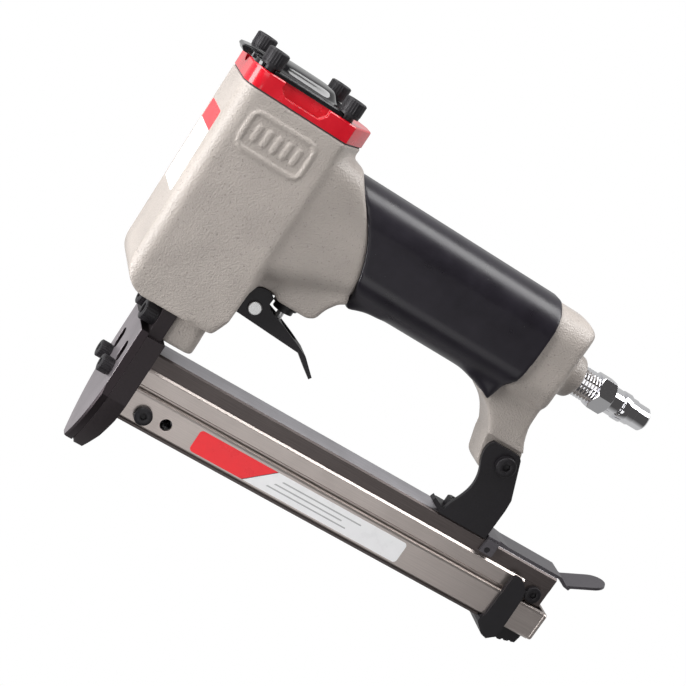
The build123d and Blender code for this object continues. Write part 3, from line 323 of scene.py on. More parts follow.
def math(tree, operation, first, second=None, clamp=False):
    node = add(tree, "ShaderNodeMath", operation=operation, use_clamp=clamp)
    for socket, value in zip(node.inputs, (first, second)):
        if hasattr(value, "is_output"):
            tree.links.new(value, socket)
        elif value is not None:
            socket.default_value = value
    return node.outputs[0]


def span(tree, value, low, high, to_low=0.0, to_high=1.0):
    """Maps a value from one span to another, clamped."""
    node = add(tree, "ShaderNodeMapRange", clamp=True)
    tree.links.new(value, node.inputs["Value"])
    ends = {"From Min": low, "From Max": high, "To Min": to_low, "To Max": to_high}
    for label, number in ends.items():
        if hasattr(number, "is_output"):
            tree.links.new(number, node.inputs[label])
        else:
            node.inputs[label].default_value = number
    return node.outputs["Result"]


def mix_colour(tree, share, first, second):
    node = add(tree, "ShaderNodeMix", data_type="RGBA")
    tree.links.new(share, node.inputs["Factor"])
    for socket, value in ((node.inputs[6], first), (node.inputs[7], second)):
        if hasattr(value, "is_output"):
            tree.links.new(value, socket)
        else:
            socket.default_value = (*value, 1)
    return node.outputs[2]


def noise(tree, vector, scale, detail=2.0, roughness=0.5):
    node = add(tree, "ShaderNodeTexNoise", scale=scale, detail=detail, roughness=roughness)
    tree.links.new(vector, node.inputs["Vector"])
    return node.outputs[0]


def make_hammer_group():
    """Hammered powder coat: shallow pebbles with fine grit and dark flecks."""
    tree, given, result = shader_group(
        "Hammered skin",
        [("Vector", "NodeSocketVector", None), ("Pebble", "NodeSocketFloat", 700.0),
         ("Grit", "NodeSocketFloat", 2600.0)],
        [("Height", "NodeSocketFloat"), ("Fleck", "NodeSocketFloat"), ("Drift", "NodeSocketFloat")])
    cells = add(tree, "ShaderNodeTexVoronoi", feature="SMOOTH_F1")
    cells.inputs["Smoothness"].default_value = 0.6
    cells.inputs["Randomness"].default_value = 1.0
    tree.links.new(given.outputs["Vector"], cells.inputs["Vector"])
    tree.links.new(given.outputs["Pebble"], cells.inputs["Scale"])
    pebble = span(tree, cells.outputs["Distance"], 0.05, 0.7, 1.0, 0.0)
    grit = noise(tree, given.outputs["Vector"], 1.0, 2.0)
    tree.links.new(given.outputs["Grit"], grit.node.inputs["Scale"])
    height = math(tree, "ADD", math(tree, "MULTIPLY", pebble, 0.72),
                  math(tree, "MULTIPLY", grit, 0.28))
    fleck = span(tree, noise(tree, given.outputs["Vector"], 1150.0, 2.0), 0.64, 0.72)
    drift = noise(tree, given.outputs["Vector"], 55.0, 3.0)
    tree.links.new(height, result.inputs["Height"])
    tree.links.new(fleck, result.inputs["Fleck"])
    tree.links.new(drift, result.inputs["Drift"])
    return tree


def make_brushed_group():
    """Fine streaks along one direction, and the slow drift of tone that sheet steel shows."""
    tree, given, result = shader_group(
        "Brushed streaks",
        [("Vector", "NodeSocketVector", None),
         ("Stretch", "NodeSocketVector", (60.0, 4000.0, 4000.0))],
        [("Streak", "NodeSocketFloat"), ("Drift", "NodeSocketFloat")])
    stretched = add(tree, "ShaderNodeVectorMath", operation="MULTIPLY")
    tree.links.new(given.outputs["Vector"], stretched.inputs[0])
    tree.links.new(given.outputs["Stretch"], stretched.inputs[1])
    streak = noise(tree, stretched.outputs["Vector"], 1.0, 4.0, 0.6)
    drift = noise(tree, given.outputs["Vector"], 38.0, 3.0)
    tree.links.new(streak, result.inputs["Streak"])
    tree.links.new(drift, result.inputs["Drift"])
    return tree


def make_dust_group():
    """Sparse specks of dust and lint, with faint smears between them."""
    tree, given, result = shader_group(
        "Dust and smears",
        [("Vector", "NodeSocketVector", None), ("Speck Size", "NodeSocketFloat", 420.0),
         ("Amount", "NodeSocketFloat", 0.06)],
        [("Speck", "NodeSocketFloat"), ("Smear", "NodeSocketFloat")])
    cells = add(tree, "ShaderNodeTexVoronoi", feature="F1")
    tree.links.new(given.outputs["Vector"], cells.inputs["Vector"])
    tree.links.new(given.outputs["Speck Size"], cells.inputs["Scale"])
    speck = span(tree, cells.outputs["Distance"], given.outputs["Amount"], 0.0)
    chosen = add(tree, "ShaderNodeSeparateColor")
    tree.links.new(cells.outputs["Color"], chosen.inputs[0])
    speck = math(tree, "MULTIPLY", speck, math(tree, "GREATER_THAN", chosen.outputs[0], 0.72))
    smear = noise(tree, given.outputs["Vector"], 90.0, 5.0, 0.65)
    tree.links.new(speck, result.inputs["Speck"])
    tree.links.new(smear, result.inputs["Smear"])
    return tree


HAMMER = make_hammer_group()
BRUSHED = make_brushed_group()
DUST = make_dust_group()


def blank_material(name):
    """A material with one Principled shader, and its Object coordinates."""
    material = bpy.data.materials.new(name)
    material.use_nodes = True
    tree = material.node_tree
    shader = tree.nodes["Principled BSDF"]
    where = tree.nodes.new("ShaderNodeTexCoord").outputs["Object"]
    return material, tree, shader, where


def place_group(tree, group, where, **values):
    node = tree.nodes.new("ShaderNodeGroup")
    node.node_tree = group
    tree.links.new(where, node.inputs["Vector"])
    for key, value in values.items():
        node.inputs[key.replace("_", " ").title()].default_value = value
    return node.outputs


def bump(tree, shader, height, strength, depth):
    node = add(tree, "ShaderNodeBump", strength=strength, distance=depth)
    tree.links.new(height, node.inputs["Height"])
    tree.links.new(node.outputs["Normal"], shader.inputs["Normal"])
    return node


def hammered_paint(name, colour):
    material, tree, shader, where = blank_material(name)
    skin = place_group(tree, HAMMER, where, pebble=1450.0, grit=3400.0)
    dark = tuple(c * 0.93 for c in colour)
    light = tuple(min(c * 1.05, 1) for c in colour)
    tone = mix_colour(tree, span(tree, skin["Drift"], 0.35, 0.65), dark, light)
    base = mix_colour(tree, math(tree, "MULTIPLY", skin["Fleck"], 0.55), tone,
                      tuple(c * 0.42 for c in colour))
    tree.links.new(base, shader.inputs["Base Color"])
    tree.links.new(span(tree, skin["Height"], 0.2, 0.9, 0.46, 0.26), shader.inputs["Roughness"])
    shader.inputs["Specular IOR Level"].default_value = 0.62
    bump(tree, shader, skin["Height"], 0.95, 0.16 * MM)
    return material


def gloss_paint(name, colour, coat, roughness, wear):
    """Smooth paint or stamped black finish with faint smears and specks."""
    material, tree, shader, where = blank_material(name)
    film = place_group(tree, DUST, where, speck_size=500.0, amount=0.10)
    tone = mix_colour(tree, span(tree, film["Smear"], 0.3, 0.7), tuple(c * 0.86 for c in colour),
                      tuple(min(c * 1.10 + 0.002, 1) for c in colour))
    base = mix_colour(tree, math(tree, "MULTIPLY", film["Speck"], wear), tone, (0.45, 0.45, 0.46))
    tree.links.new(base, shader.inputs["Base Color"])
    tree.links.new(span(tree, film["Smear"], 0.35, 0.75, roughness * 0.7, roughness * 1.5),
                   shader.inputs["Roughness"])
    shader.inputs["Coat Weight"].default_value = coat
    shader.inputs["Coat Roughness"].default_value = 0.05
    bump(tree, shader, film["Smear"], 0.10, 0.05 * MM)
    return material


def rubber(name, colour, roughness, speck):
    """Satin moulded rubber with a very fine grain and a little dust."""
    material, tree, shader, where = blank_material(name)
    film = place_group(tree, DUST, where, speck_size=260.0, amount=0.045)
    grain = noise(tree, where, 3800.0, 2.0)
    tone = mix_colour(tree, span(tree, film["Smear"], 0.3, 0.7), tuple(c * 0.8 for c in colour),
                      tuple(c * 1.25 for c in colour))
    base = mix_colour(tree, math(tree, "MULTIPLY", film["Speck"], speck), tone, (0.5, 0.5, 0.5))
    tree.links.new(base, shader.inputs["Base Color"])
    tree.links.new(span(tree, film["Smear"], 0.3, 0.75, roughness * 0.88, roughness * 1.15),
                   shader.inputs["Roughness"])
    bump(tree, shader, grain, 0.16, 0.04 * MM)
    return material


def worked_metal(name, colour, dark, metallic, rough, stretch, depth, strength=0.25, zone=None):
    """Rolled, ground, brushed or drawn metal with streaks along its working direction.
    zone gives an axis, a limit, a side and the colour on that side of it, as for a ground face, and for
    the painted reflection on the rail's top face."""
    material, tree, shader, where = blank_material(name)
    worked = place_group(tree, BRUSHED, where, stretch=stretch)
    film = place_group(tree, DUST, where, speck_size=380.0, amount=0.05)
    streak = span(tree, worked["Streak"], 0.3, 0.7)
    tone = mix_colour(tree, streak, tuple(c * dark for c in colour), colour)
    if zone:
        axis, operation, limit, other = zone
        axes = add(tree, "ShaderNodeSeparateXYZ")
        tree.links.new(where, axes.inputs[0])
        # colour on the zone's side: a real ground face on the guide plate, a painted reflection of the
        # light on the rail's top face
        ground = mix_colour(tree, streak, tuple(c * dark for c in other), other)
        tone = mix_colour(tree, math(tree, operation, axes.outputs[axis], limit), tone, ground)
    drifted = mix_colour(tree, span(tree, worked["Drift"], 0.3, 0.75, 0.0, 0.35), tone,
                         tuple(c * (0.4 + 0.5 * dark) for c in colour))
    base = mix_colour(tree, math(tree, "MULTIPLY", film["Speck"], 0.25), drifted, (0.35, 0.34, 0.33))
    tree.links.new(base, shader.inputs["Base Color"])
    shader.inputs["Metallic"].default_value = metallic
    uneven = math(tree, "ADD", math(tree, "MULTIPLY", worked["Streak"], 0.6),
                  math(tree, "MULTIPLY", film["Smear"], 0.4))
    tree.links.new(span(tree, uneven, 0.3, 0.7, rough[0], rough[1]), shader.inputs["Roughness"])
    bump(tree, shader, worked["Streak"], strength, depth)
    return material


def two_colour_label(name, red, white, edge, marks=None):
    """Printed foil in a red and a white field. edge gives the share of red, marks that of dark bars."""
    material, tree, shader, where = blank_material(name)
    axes = add(tree, "ShaderNodeSeparateXYZ")
    tree.links.new(where, axes.inputs[0])
    film = place_group(tree, DUST, where, speck_size=600.0, amount=0.05)
    pale = mix_colour(tree, span(tree, film["Smear"], 0.3, 0.7), tuple(c * 0.93 for c in white), white)
    strong = mix_colour(tree, span(tree, film["Smear"], 0.3, 0.7), tuple(c * 0.88 for c in red), red)
    fields = mix_colour(tree, edge(tree, axes.outputs), pale, strong)
    if marks:
        fields = mix_colour(tree, marks(tree, axes.outputs), fields, (0.05, 0.05, 0.055))
    tree.links.new(fields, shader.inputs["Base Color"])
    tree.links.new(span(tree, film["Smear"], 0.3, 0.7, 0.24, 0.36), shader.inputs["Roughness"])
    shader.inputs["Specular IOR Level"].default_value = 0.25
    bump(tree, shader, film["Smear"], 0.06, 0.05 * MM)
    return material


# ---------------------------------------------------------------- finishes

ALONG_RAIL = (60.0, 3600.0, 3600.0)
ACROSS = (3000.0, 90.0, 3000.0)
UPRIGHT = (3000.0, 3000.0, 70.0)
EVEN = (1500.0, 1500.0, 1500.0)
FRONT_RED_FROM = 0.76
SIDE_RED_LONG = 24 * MM
SIDE_LEAN = 11 * MM
SIDE_BARS = ((0.72, 52), (0.50, 44), (0.28, 47))    # share of the height, reach in mm


def make_finishes(scene):
    """One material for each of the record's slots."""
    casting, rubbers = scene.tacker_casting, scene.tacker_rubber
    steel, labels = scene.tacker_steel, scene.tacker_label
    low, high = node_box("front_label")
    front_split = low.z + FRONT_RED_FROM * (high.z - low.z)
    low, high = node_box("side_label")
    side_split = low.x + SIDE_RED_LONG
    side_low = low.z
    side_tall = high.z - low.z
    guide_face = node_box("driver_guide_plate")[0].x + 0.05 * MM
    rail_top = node_box("magazine_rail")[1].z - 0.05 * MM

    def front_edge(tree, axes):
        return math(tree, "GREATER_THAN", axes["Z"], front_split)

    def side_line(tree, axes):
        rise = math(tree, "SUBTRACT", axes["Z"], side_low)
        lean = math(tree, "MULTIPLY", rise, SIDE_LEAN / side_tall)
        return math(tree, "SUBTRACT", axes["X"], math(tree, "ADD", lean, side_split))

    def side_edge(tree, axes):
        return math(tree, "LESS_THAN", side_line(tree, axes), 0.0)

    def side_marks(tree, axes):
        """The dark line between the fields, and three plain bars on the white one."""
        line = math(tree, "COMPARE", side_line(tree, axes), 0.2 * MM)
        line.node.inputs[2].default_value = 0.22 * MM
        start = math(tree, "GREATER_THAN", side_line(tree, axes), 7 * MM)
        marks = line
        for share, reach in SIDE_BARS:
            bar = math(tree, "COMPARE", axes["Z"], side_low + share * side_tall)
            bar.node.inputs[2].default_value = 0.28 * MM
            end = math(tree, "LESS_THAN", axes["X"], side_split + reach * MM)
            bar = math(tree, "MULTIPLY", math(tree, "MULTIPLY", bar, start), end)
            marks = math(tree, "ADD", marks, math(tree, "MULTIPLY", bar, 0.55), clamp=True)
        return marks

    gunmetal = (0.040, 0.031, 0.035)
    ground_face = ("X", "LESS_THAN", guide_face, (0.44, 0.40, 0.425))
    # painted reflection: the rail's top face is coloured lighter, as if it mirrored the light above
    painted_top_sheen = ("Z", "GREATER_THAN", rail_top, (0.62, 0.60, 0.64))
    red, white = tuple(labels.red), tuple(labels.white)
    return {
        "hammered_paint": hammered_paint("Hammered powder coat", tuple(casting.paint)),
        "red_paint": gloss_paint("Red gloss coat", tuple(casting.cap_paint), 0.6, 0.22, 0.25),
        "black_gloss": gloss_paint("Black stamped steel", (0.006, 0.006, 0.007), 0.7, 0.14, 0.06),
        "black_oxide": worked_metal(
            "Black oxide", (0.018, 0.016, 0.019), 0.6, 0.30, (0.34, 0.50), EVEN, 0.03 * MM, 0.2),
        "grip_rubber": rubber("Grip rubber", tuple(rubbers.rubber), 0.30, 0.55),
        "seal_rubber": rubber("Seal rubber", (0.012, 0.012, 0.012), 0.5, 0.05),
        "bumper_rubber": rubber("Bumper rubber", (0.10, 0.045, 0.018), 0.5, 0.05),
        "gasket_fibre": rubber("Gasket fibre", (0.05, 0.05, 0.055), 0.8, 0.10),
        "chrome": worked_metal(
            "Chrome plate", (0.90, 0.90, 0.92), 0.96, 1.0, (0.03, 0.08), EVEN, 0.004 * MM, 0.02),
        "phosphate": worked_metal(
            "Dark phosphate", (0.034, 0.026, 0.029), 0.65, 0.45, (0.42, 0.58), EVEN, 0.04 * MM, 0.3),
        "guide_steel": worked_metal(
            "Ground guide steel", gunmetal, 0.74, 0.80, (0.30, 0.44), UPRIGHT, 0.02 * MM,
            zone=ground_face),
        "rail_steel": worked_metal(
            "Dark rail steel with painted top sheen", (0.125, 0.104, 0.100), 0.62, 0.62, (0.32, 0.46), ALONG_RAIL,
            0.03 * MM, 0.3, zone=painted_top_sheen),
        "magazine_steel": worked_metal(
            "Brushed magazine steel", tuple(steel.drawer_steel), 0.80, 0.92, (0.28, 0.42),
            ALONG_RAIL, 0.025 * MM, 0.3),
        "bright_steel": worked_metal(
            "Bright ground steel", (0.80, 0.80, 0.80), 0.86, 0.85, (0.24, 0.36), ACROSS,
            0.01 * MM, 0.15),
        "spring_steel": worked_metal(
            "Spring steel", (0.16, 0.15, 0.165), 0.7, 0.8, (0.26, 0.40), ALONG_RAIL, 0.02 * MM, 0.2),
        "cylinder_aluminium": worked_metal(
            "Anodised aluminium", (0.60, 0.60, 0.62), 0.85, 0.95, (0.25, 0.38), UPRIGHT,
            0.02 * MM, 0.2),
        "machined_aluminium": worked_metal(
            "Machined aluminium", (0.68, 0.68, 0.69), 0.84, 1.0, (0.22, 0.36), ACROSS,
            0.02 * MM, 0.2),
        "black_plastic": rubber("Black plastic", (0.007, 0.006, 0.008), 0.42, 0.15),
        "front_label": two_colour_label("Front label foil", red, white, front_edge),
        "side_label": two_colour_label("Side label foil", red, white, side_edge, side_marks),
    }


FINISHES = {}


def paint(piece, finish):
    """Gives a piece one finish all over."""
    piece.data.materials.clear()
    piece.data.materials.append(FINISHES[finish])


def stand_in(piece, node, finish):
    """Puts a finished piece in the place of a CAD node, on the same body."""
    paint(piece, finish)
    body = frame["nodes"][node]["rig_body"]
    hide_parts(node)
    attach(piece, body)


# ---------------------------------------------------------------- pieces

def badge_share(point):
    """1 on the raised badge, whose frame and bars stay crisp."""
    return within(point.x / MM, -17.5, 13.5, 0.6) * within(point.z / MM, 130, 148, 0.6)


def casting_share(point):
    """How strongly each place of the casting is run together: most at the neck, arm and leg roots."""
    x = point.x / MM
    z = point.z / MM
    neck = within(x, 17, 58, 6) * within(z, 93, 149, 3)
    leg = within(z, 63, 72, 3) * ramp(x, 5, 9)
    arm = within(x, 122, 158, 5) * within(z, 90, 116, 5)
    tail = ramp(x, 139, 146) * ramp(z, 126, 134)
    seat = within(x, 28, 52, 4) * within(z, 90, 104, 3)
    share = max(neck, leg, arm, tail, 0.8 * seat, 0.05)
    crisp = ramp(z, 149.5, 151.5)
    return share * (1 - 0.9 * badge_share(point)) * (1 - 0.8 * crisp)


# head radius, head height, room left in it for the crown, socket width, shank radius, all in mm
CAP_M5 = (4.25, 5.0, 0.32, 4.0, 2.45)
CAP_M4 = (3.5, 4.0, 0.27, 3.0, 1.95)
BUTTON_M5 = (4.25, 2.8, 0.32, 3.0, 2.45)
BUTTON_M4 = (3.6, 2.2, 0.32, 2.5, 1.95)
DRAWER_M4 = (3.6, 2.2, 0.28, 2.5, 1.95)
DRAWER_SHANK = 6.9 * MM


def screw_head(name, size, shank_long, knurl):
    """A hexagon socket screw that stands at the origin with its head up: seat at Z = 0."""
    head_r, head_h, crown_room, flats, shank_r = (value * MM for value in size)
    head_h -= crown_room
    sides = 48
    bpy.ops.mesh.primitive_cylinder_add(
        vertices=sides, radius=head_r - knurl, depth=head_h, end_fill_type="NGON",
        location=(0, 0, head_h / 2))
    piece = new_piece(name)

    # crown: a narrow land, then the hexagon
    pick_faces(piece, lambda middle, normal: normal.z > 0.9)
    bpy.ops.mesh.inset(thickness=0.10 * head_r, depth=0.07 * head_r)
    bpy.ops.mesh.inset(thickness=0.86 * head_r - 0.56 * flats)
    mesh = bmesh.from_edit_mesh(piece.data)
    for point in [p for face in mesh.faces if face.select for p in face.verts]:
        angle = Vector((point.co.x, point.co.y)).angle_signed(Vector((1, 0)), 0)
        turn = (angle % (pi / 3)) - pi / 6
        reach = 0.5 * flats / cos(turn)
        flat = Vector((point.co.x, point.co.y)).normalized() * reach
        point.co.x, point.co.y = flat
    bmesh.update_edit_mesh(piece.data)
    bpy.ops.mesh.extrude_region_move(TRANSFORM_OT_translate={"value": (0, 0, -0.62 * head_h)})
    object_mode()

    # knurling: every second strip of the side stands proud
    def every_second(middle, normal):
        angle = Vector((middle.x, middle.y)).angle_signed(Vector((1, 0)), 0)
        strip = round(angle / (2 * pi / sides) - 0.5)
        return abs(normal.z) < 0.1 and middle.xy.length > 0.8 * head_r and strip % 2 == 0

    if knurl > 0:
        pick_faces(piece, every_second)
        bpy.ops.mesh.inset(thickness=0.018 * head_r, depth=knurl, use_individual=True)
        object_mode()

    # shank
    pick_faces(piece, lambda middle, normal: normal.z < -0.9 and middle.z < 0.01 * MM)
    bpy.ops.mesh.inset(thickness=head_r - knurl - shank_r)
    bpy.ops.mesh.extrude_region_move(TRANSFORM_OT_translate={"value": (0, 0, -shank_long)})
    object_mode()
    broken = piece.modifiers.new("edges", "BEVEL")
    broken.width = 0.015 * head_r
    broken.segments = 2
    broken.limit_method = "ANGLE"
    broken.angle_limit = radians(50)
    apply_modifiers(piece)
    smooth_by_angle(piece, 35)
    return piece


def turned_copy(piece, name, seat, out):
    """A copy of an upright piece, its seat at a place and its head pointing out."""
    twin = piece.copy()
    twin.data = piece.data.copy()
    twin.name = name
    bpy.context.scene.collection.objects.link(twin)
    turn = Vector(out).to_track_quat("Z", "Y").to_matrix().to_4x4()
    twin.matrix_world = Matrix.Translation(seat) @ turn
    settle(twin)
    return twin


def screw_set(name, node, seats, out, size, shank_long, knurl=0.0):
    """All of a node's screws, modelled once and copied to their seats."""
    first = screw_head(name + "_first", size, shank_long, knurl)
    copies = [turned_copy(first, f"{name}_{place}", seat, way)
              for place, (seat, way) in enumerate(zip(seats, out))]
    bpy.data.objects.remove(first)
    take(copies[0])
    for twin in copies[1:]:
        twin.select_set(True)
    if len(copies) > 1:
        bpy.ops.object.join()
    joined = bpy.context.object
    joined.name = name
    joined.data.name = name
    stand_in(joined, node, "black_oxide")


def spring_piece(name, node, start, end, along, radius, wire, turns):
    """A coil spring, screwed up from one ring of wire."""
    length = end - start - wire
    bpy.ops.mesh.primitive_circle_add(vertices=10, radius=wire / 2, fill_type="NOTHING",
                                      location=(radius, 0, wire / 2), rotation=(pi / 2, 0, 0))
    piece = new_piece(name)
    coil = piece.modifiers.new("coil", "SCREW")
    coil.axis = "Z"
    coil.angle = 2 * pi
    coil.screw_offset = length / turns
    coil.iterations = turns
    coil.steps = 28
    coil.render_steps = 28
    apply_modifiers(piece)
    take(piece)
    bpy.ops.object.mode_set(mode="EDIT")
    bpy.ops.mesh.select_all(action="SELECT")
    bpy.ops.mesh.remove_doubles(threshold=0.000001)
    bpy.ops.mesh.select_all(action="DESELECT")
    bpy.ops.mesh.select_mode(type="VERT")
    bpy.ops.mesh.select_non_manifold()
    bpy.ops.mesh.fill_holes(sides=12)
    bpy.ops.mesh.select_all(action="SELECT")
    bpy.ops.mesh.normals_make_consistent(inside=False)
    object_mode()
    smooth_by_angle(piece, 60)
    low, high = node_box(node)
    middle = (low + high) / 2
    if along == "X":
        lying = Matrix.Rotation(pi / 2, 4, "Y")
        piece.matrix_world = Matrix.Translation((start, middle.y, middle.z)) @ lying
    else:
        piece.matrix_world = Matrix.Translation((middle.x, middle.y, start))
    settle(piece)
    stand_in(piece, node, "spring_steel")
    return piece


# ---------------------------------------------------------------- operators

class TACKER_OT_stage(Operator):
    """Camera, white floor, soft lights and room"""
    bl_idname = "tacker.stage"
    bl_label = "Stage"

    def execute(self, context):
        scene = context.scene
        studio = scene.tacker_studio
        scene.view_settings.view_transform = "Standard"
        deselect()
        back = Vector((sin(studio.around) * cos(studio.above), -cos(studio.around) * cos(studio.above),
                       sin(studio.above)))
        right = Vector((0, 0, 1)).cross(back).normalized()
        up = back.cross(right)
        side = cos(studio.roll) * right + sin(studio.roll) * up
        top = -sin(studio.roll) * right + cos(studio.roll) * up
        place = LOOK_AT + back * studio.distance
        bpy.ops.object.camera_add()
        camera = context.object
        camera.name = "Camera"
        camera.data.lens = studio.lens
        camera.data.sensor_width = 36
        camera.data.clip_start = 0.01
        camera.matrix_world = Matrix.Translation(place) @ Matrix((side, top, back)).transposed().to_4x4()
        scene.camera = camera

        bpy.ops.mesh.primitive_plane_add(size=6, location=(0.08, 0, CAD_LOW.z - 0.5 * MM))
        floor = new_piece("floor")
        white = bpy.data.materials.new("White floor")
        white.use_nodes = True
        tree = white.node_tree
        tree.nodes.clear()
        glow = tree.nodes.new("ShaderNodeEmission")
        glow.inputs["Color"].default_value = (1, 1, 1, 1)
        out = tree.nodes.new("ShaderNodeOutputMaterial")
        tree.links.new(glow.outputs[0], out.inputs["Surface"])
        floor.data.materials.append(white)
        floor.visible_diffuse = False
        floor.visible_glossy = False
        floor.visible_shadow = False

        self.lights(side, top, back, studio.key_power)
        self.room(scene, studio.ambient, back)
        return {"FINISHED"}

    def lights(self, side, top, back, power):
        """Large panels above, at both sides and in front, and a low one under them."""
        panels = [
            ("Top panel", top * 0.55 + back * 0.25 - side * 0.05, 0.55, 0.45, power * 1.45),
            ("Left panel", -side * 0.60 + back * 0.35 + top * 0.12, 0.35, 0.7, power * 1.85),
            ("Right panel", side * 0.60 + back * 0.10 + top * 0.30, 0.30, 0.6, power),
            ("Front panel", back * 0.75 + top * 0.10 + side * 0.15, 0.5, 0.5, power * 0.30),
            ("Low panel", back * 0.52 - top * 0.46 + side * 0.08, 0.50, 0.26, power * 0.14),
        ]
        for name, offset, wide, tall, strength in panels:
            bpy.ops.object.light_add(type="AREA", location=LOOK_AT + offset)
            lamp = bpy.context.object
            lamp.name = name
            lamp.data.shape = "RECTANGLE"
            lamp.data.size = wide
            lamp.data.size_y = tall
            lamp.data.energy = strength
            lamp.rotation_euler = offset.to_track_quat("Z", "Y").to_euler()

    def room(self, scene, ambient, back):
        """White to the eye; for the light, a bright backdrop behind and a dim room in front."""
        world = bpy.data.worlds.new("Room")
        scene.world = world
        world.use_nodes = True
        tree = world.node_tree
        tree.nodes.clear()
        out = tree.nodes.new("ShaderNodeOutputWorld")
        seen = tree.nodes.new("ShaderNodeBackground")
        seen.inputs["Color"].default_value = (1, 1, 1, 1)
        lit = tree.nodes.new("ShaderNodeBackground")
        lit.inputs["Strength"].default_value = ambient
        where = tree.nodes.new("ShaderNodeTexCoord").outputs["Generated"]
        facing = add(tree, "ShaderNodeVectorMath", operation="DOT_PRODUCT")
        tree.links.new(where, facing.inputs[0])
        facing.inputs[1].default_value = back
        sky = mix_colour(tree, span(tree, facing.outputs["Value"], -0.25, 0.30), (1.0, 1.0, 1.0),
                         (0.14, 0.135, 0.135))
        tree.links.new(sky, lit.inputs["Color"])
        choice = tree.nodes.new("ShaderNodeMixShader")
        path = tree.nodes.new("ShaderNodeLightPath")
        tree.links.new(path.outputs["Is Camera Ray"], choice.inputs[0])
        tree.links.new(lit.outputs[0], choice.inputs[1])
        tree.links.new(seen.outputs[0], choice.inputs[2])
        tree.links.new(choice.outputs[0], out.inputs["Surface"])


class TACKER_OT_finishes(Operator):
    """Makes every finish and puts it on the parts that keep their own shape"""
    bl_idname = "tacker.finishes"
    bl_label = "Finishes"

    def execute(self, context):
        FINISHES.update(make_finishes(context.scene))
        for node, part in frame["nodes"].items():
            paint(part, OWN_FINISH.get(node, SLOTS[node]))
        return {"FINISHED"}


class TACKER_OT_edges(Operator):
    """Breaks the sharp edges of the sheet, folded and turned parts"""
    bl_idname = "tacker.edges"
    bl_label = "Broken edges"

    def execute(self, context):
        width = context.scene.tacker_steel.edge
        shares = {
            "cylinder_cap": 1.6, "nose_body": 1.0, "driver_guide_plate": 1.0, "trigger": 1.0,
            "magazine_rail": 1.0, "magazine_liner": 1.2, "magazine_drawer": 1.6, "drawer_end_plate": 1.6,
            "rear_block": 1.2, "support_bracket": 1.4, "latch_lever": 1.0, "pull_grip": 2.4,
            "trigger_pin": 0.6, "valve_bushing": 0.8, "drawer_runner": 1.0, "air_plug": 0.6,
            "cap_spring_washers": 0.5, "nose_spring_washers": 0.5, "bracket_nut": 0.6,
        }
        for node, share in shares.items():
            part = frame["nodes"][node]
            weld = part.modifiers.new("weld", "WELD")
            weld.merge_threshold = 0.00001
            flat = part.modifiers.new("flat", "DECIMATE")
            flat.decimate_type = "DISSOLVE"
            flat.angle_limit = radians(0.5)
            broken = part.modifiers.new("edges", "BEVEL")
            broken.width = width * share
            broken.segments = 3
            broken.limit_method = "ANGLE"
            broken.angle_limit = radians(38)
            broken.use_clamp_overlap = True
            broken.harden_normals = False
        return {"FINISHED"}


class TACKER_OT_casting(Operator):
    """Body casting with its corners run together, as poured metal has them"""
    bl_idname = "tacker.casting"
    bl_label = "Body casting"

    def execute(self, context):
        settings = context.scene.tacker_casting
        piece = merged_copy("body_casting", "casting_skin")
        remesh(piece, settings.grain)
        soften(piece, 4, lambda point: 1 - 0.75 * badge_share(point))
        soften(piece, settings.blend_passes, casting_share)
        thin_out(piece, 190000)
        stand_in(piece, "body_casting", "hammered_paint")
        return {"FINISHED"}


class TACKER_OT_grip(Operator):
    """Rubber grip sleeve with a rolled edge at both ends"""
    bl_idname = "tacker.grip"
    bl_label = "Grip sleeve"

    def execute(self, context):
        piece = merged_copy("grip_sleeve", "grip_rubber_sleeve")
        remesh(piece, 0.5 * MM)
        soften(piece, 12)
        soften(piece, 220, lambda point: 1 - ramp(point.z, 103 * MM, 111 * MM))
        thin_out(piece, 120000)
        stand_in(piece, "grip_sleeve", "grip_rubber")
        return {"FINISHED"}


PLATE_RIM = 1.9 * MM
DOME_SET_FORWARD = 1.5 * MM
DOME_HALF_LONG = 15.5 * MM
DOME_HALF_WIDE = 11 * MM


class TACKER_OT_exhaust(Operator):
    """Stamped exhaust plate with a soft dome and a drawn spout"""
    bl_idname = "tacker.exhaust"
    bl_label = "Exhaust plate"

    def execute(self, context):
        piece = merged_copy("exhaust_plate", "stamped_exhaust_plate")
        remesh(piece, 0.2 * MM)
        rim = node_box("exhaust_plate")[0].z + PLATE_RIM
        soften(piece, 3)
        centre = sum(corner.x for corner in node_box("cylinder")) / 2 - DOME_SET_FORWARD
        for point in piece.data.vertices:
            rise = point.co.z - rim
            if rise > 0:
                along = min(abs(point.co.x - centre) / DOME_HALF_LONG, 1)
                across = min(abs(point.co.y) / DOME_HALF_WIDE, 1)
                point.co.z = rim + rise * (1 - 0.42 * across ** 2) * (1 - 0.25 * along ** 4)
        root = centre - DOME_HALF_LONG + 1 * MM
        soften(piece, 220, lambda point: ramp(point.z, rim - 0.8 * MM, rim + 0.6 * MM)
               * (0.05 + 0.95 * ramp(point.x, root - 2 * MM, root + 3 * MM)))
        thin_out(piece, 90000)
        stand_in(piece, "exhaust_plate", "black_gloss")
        return {"FINISHED"}


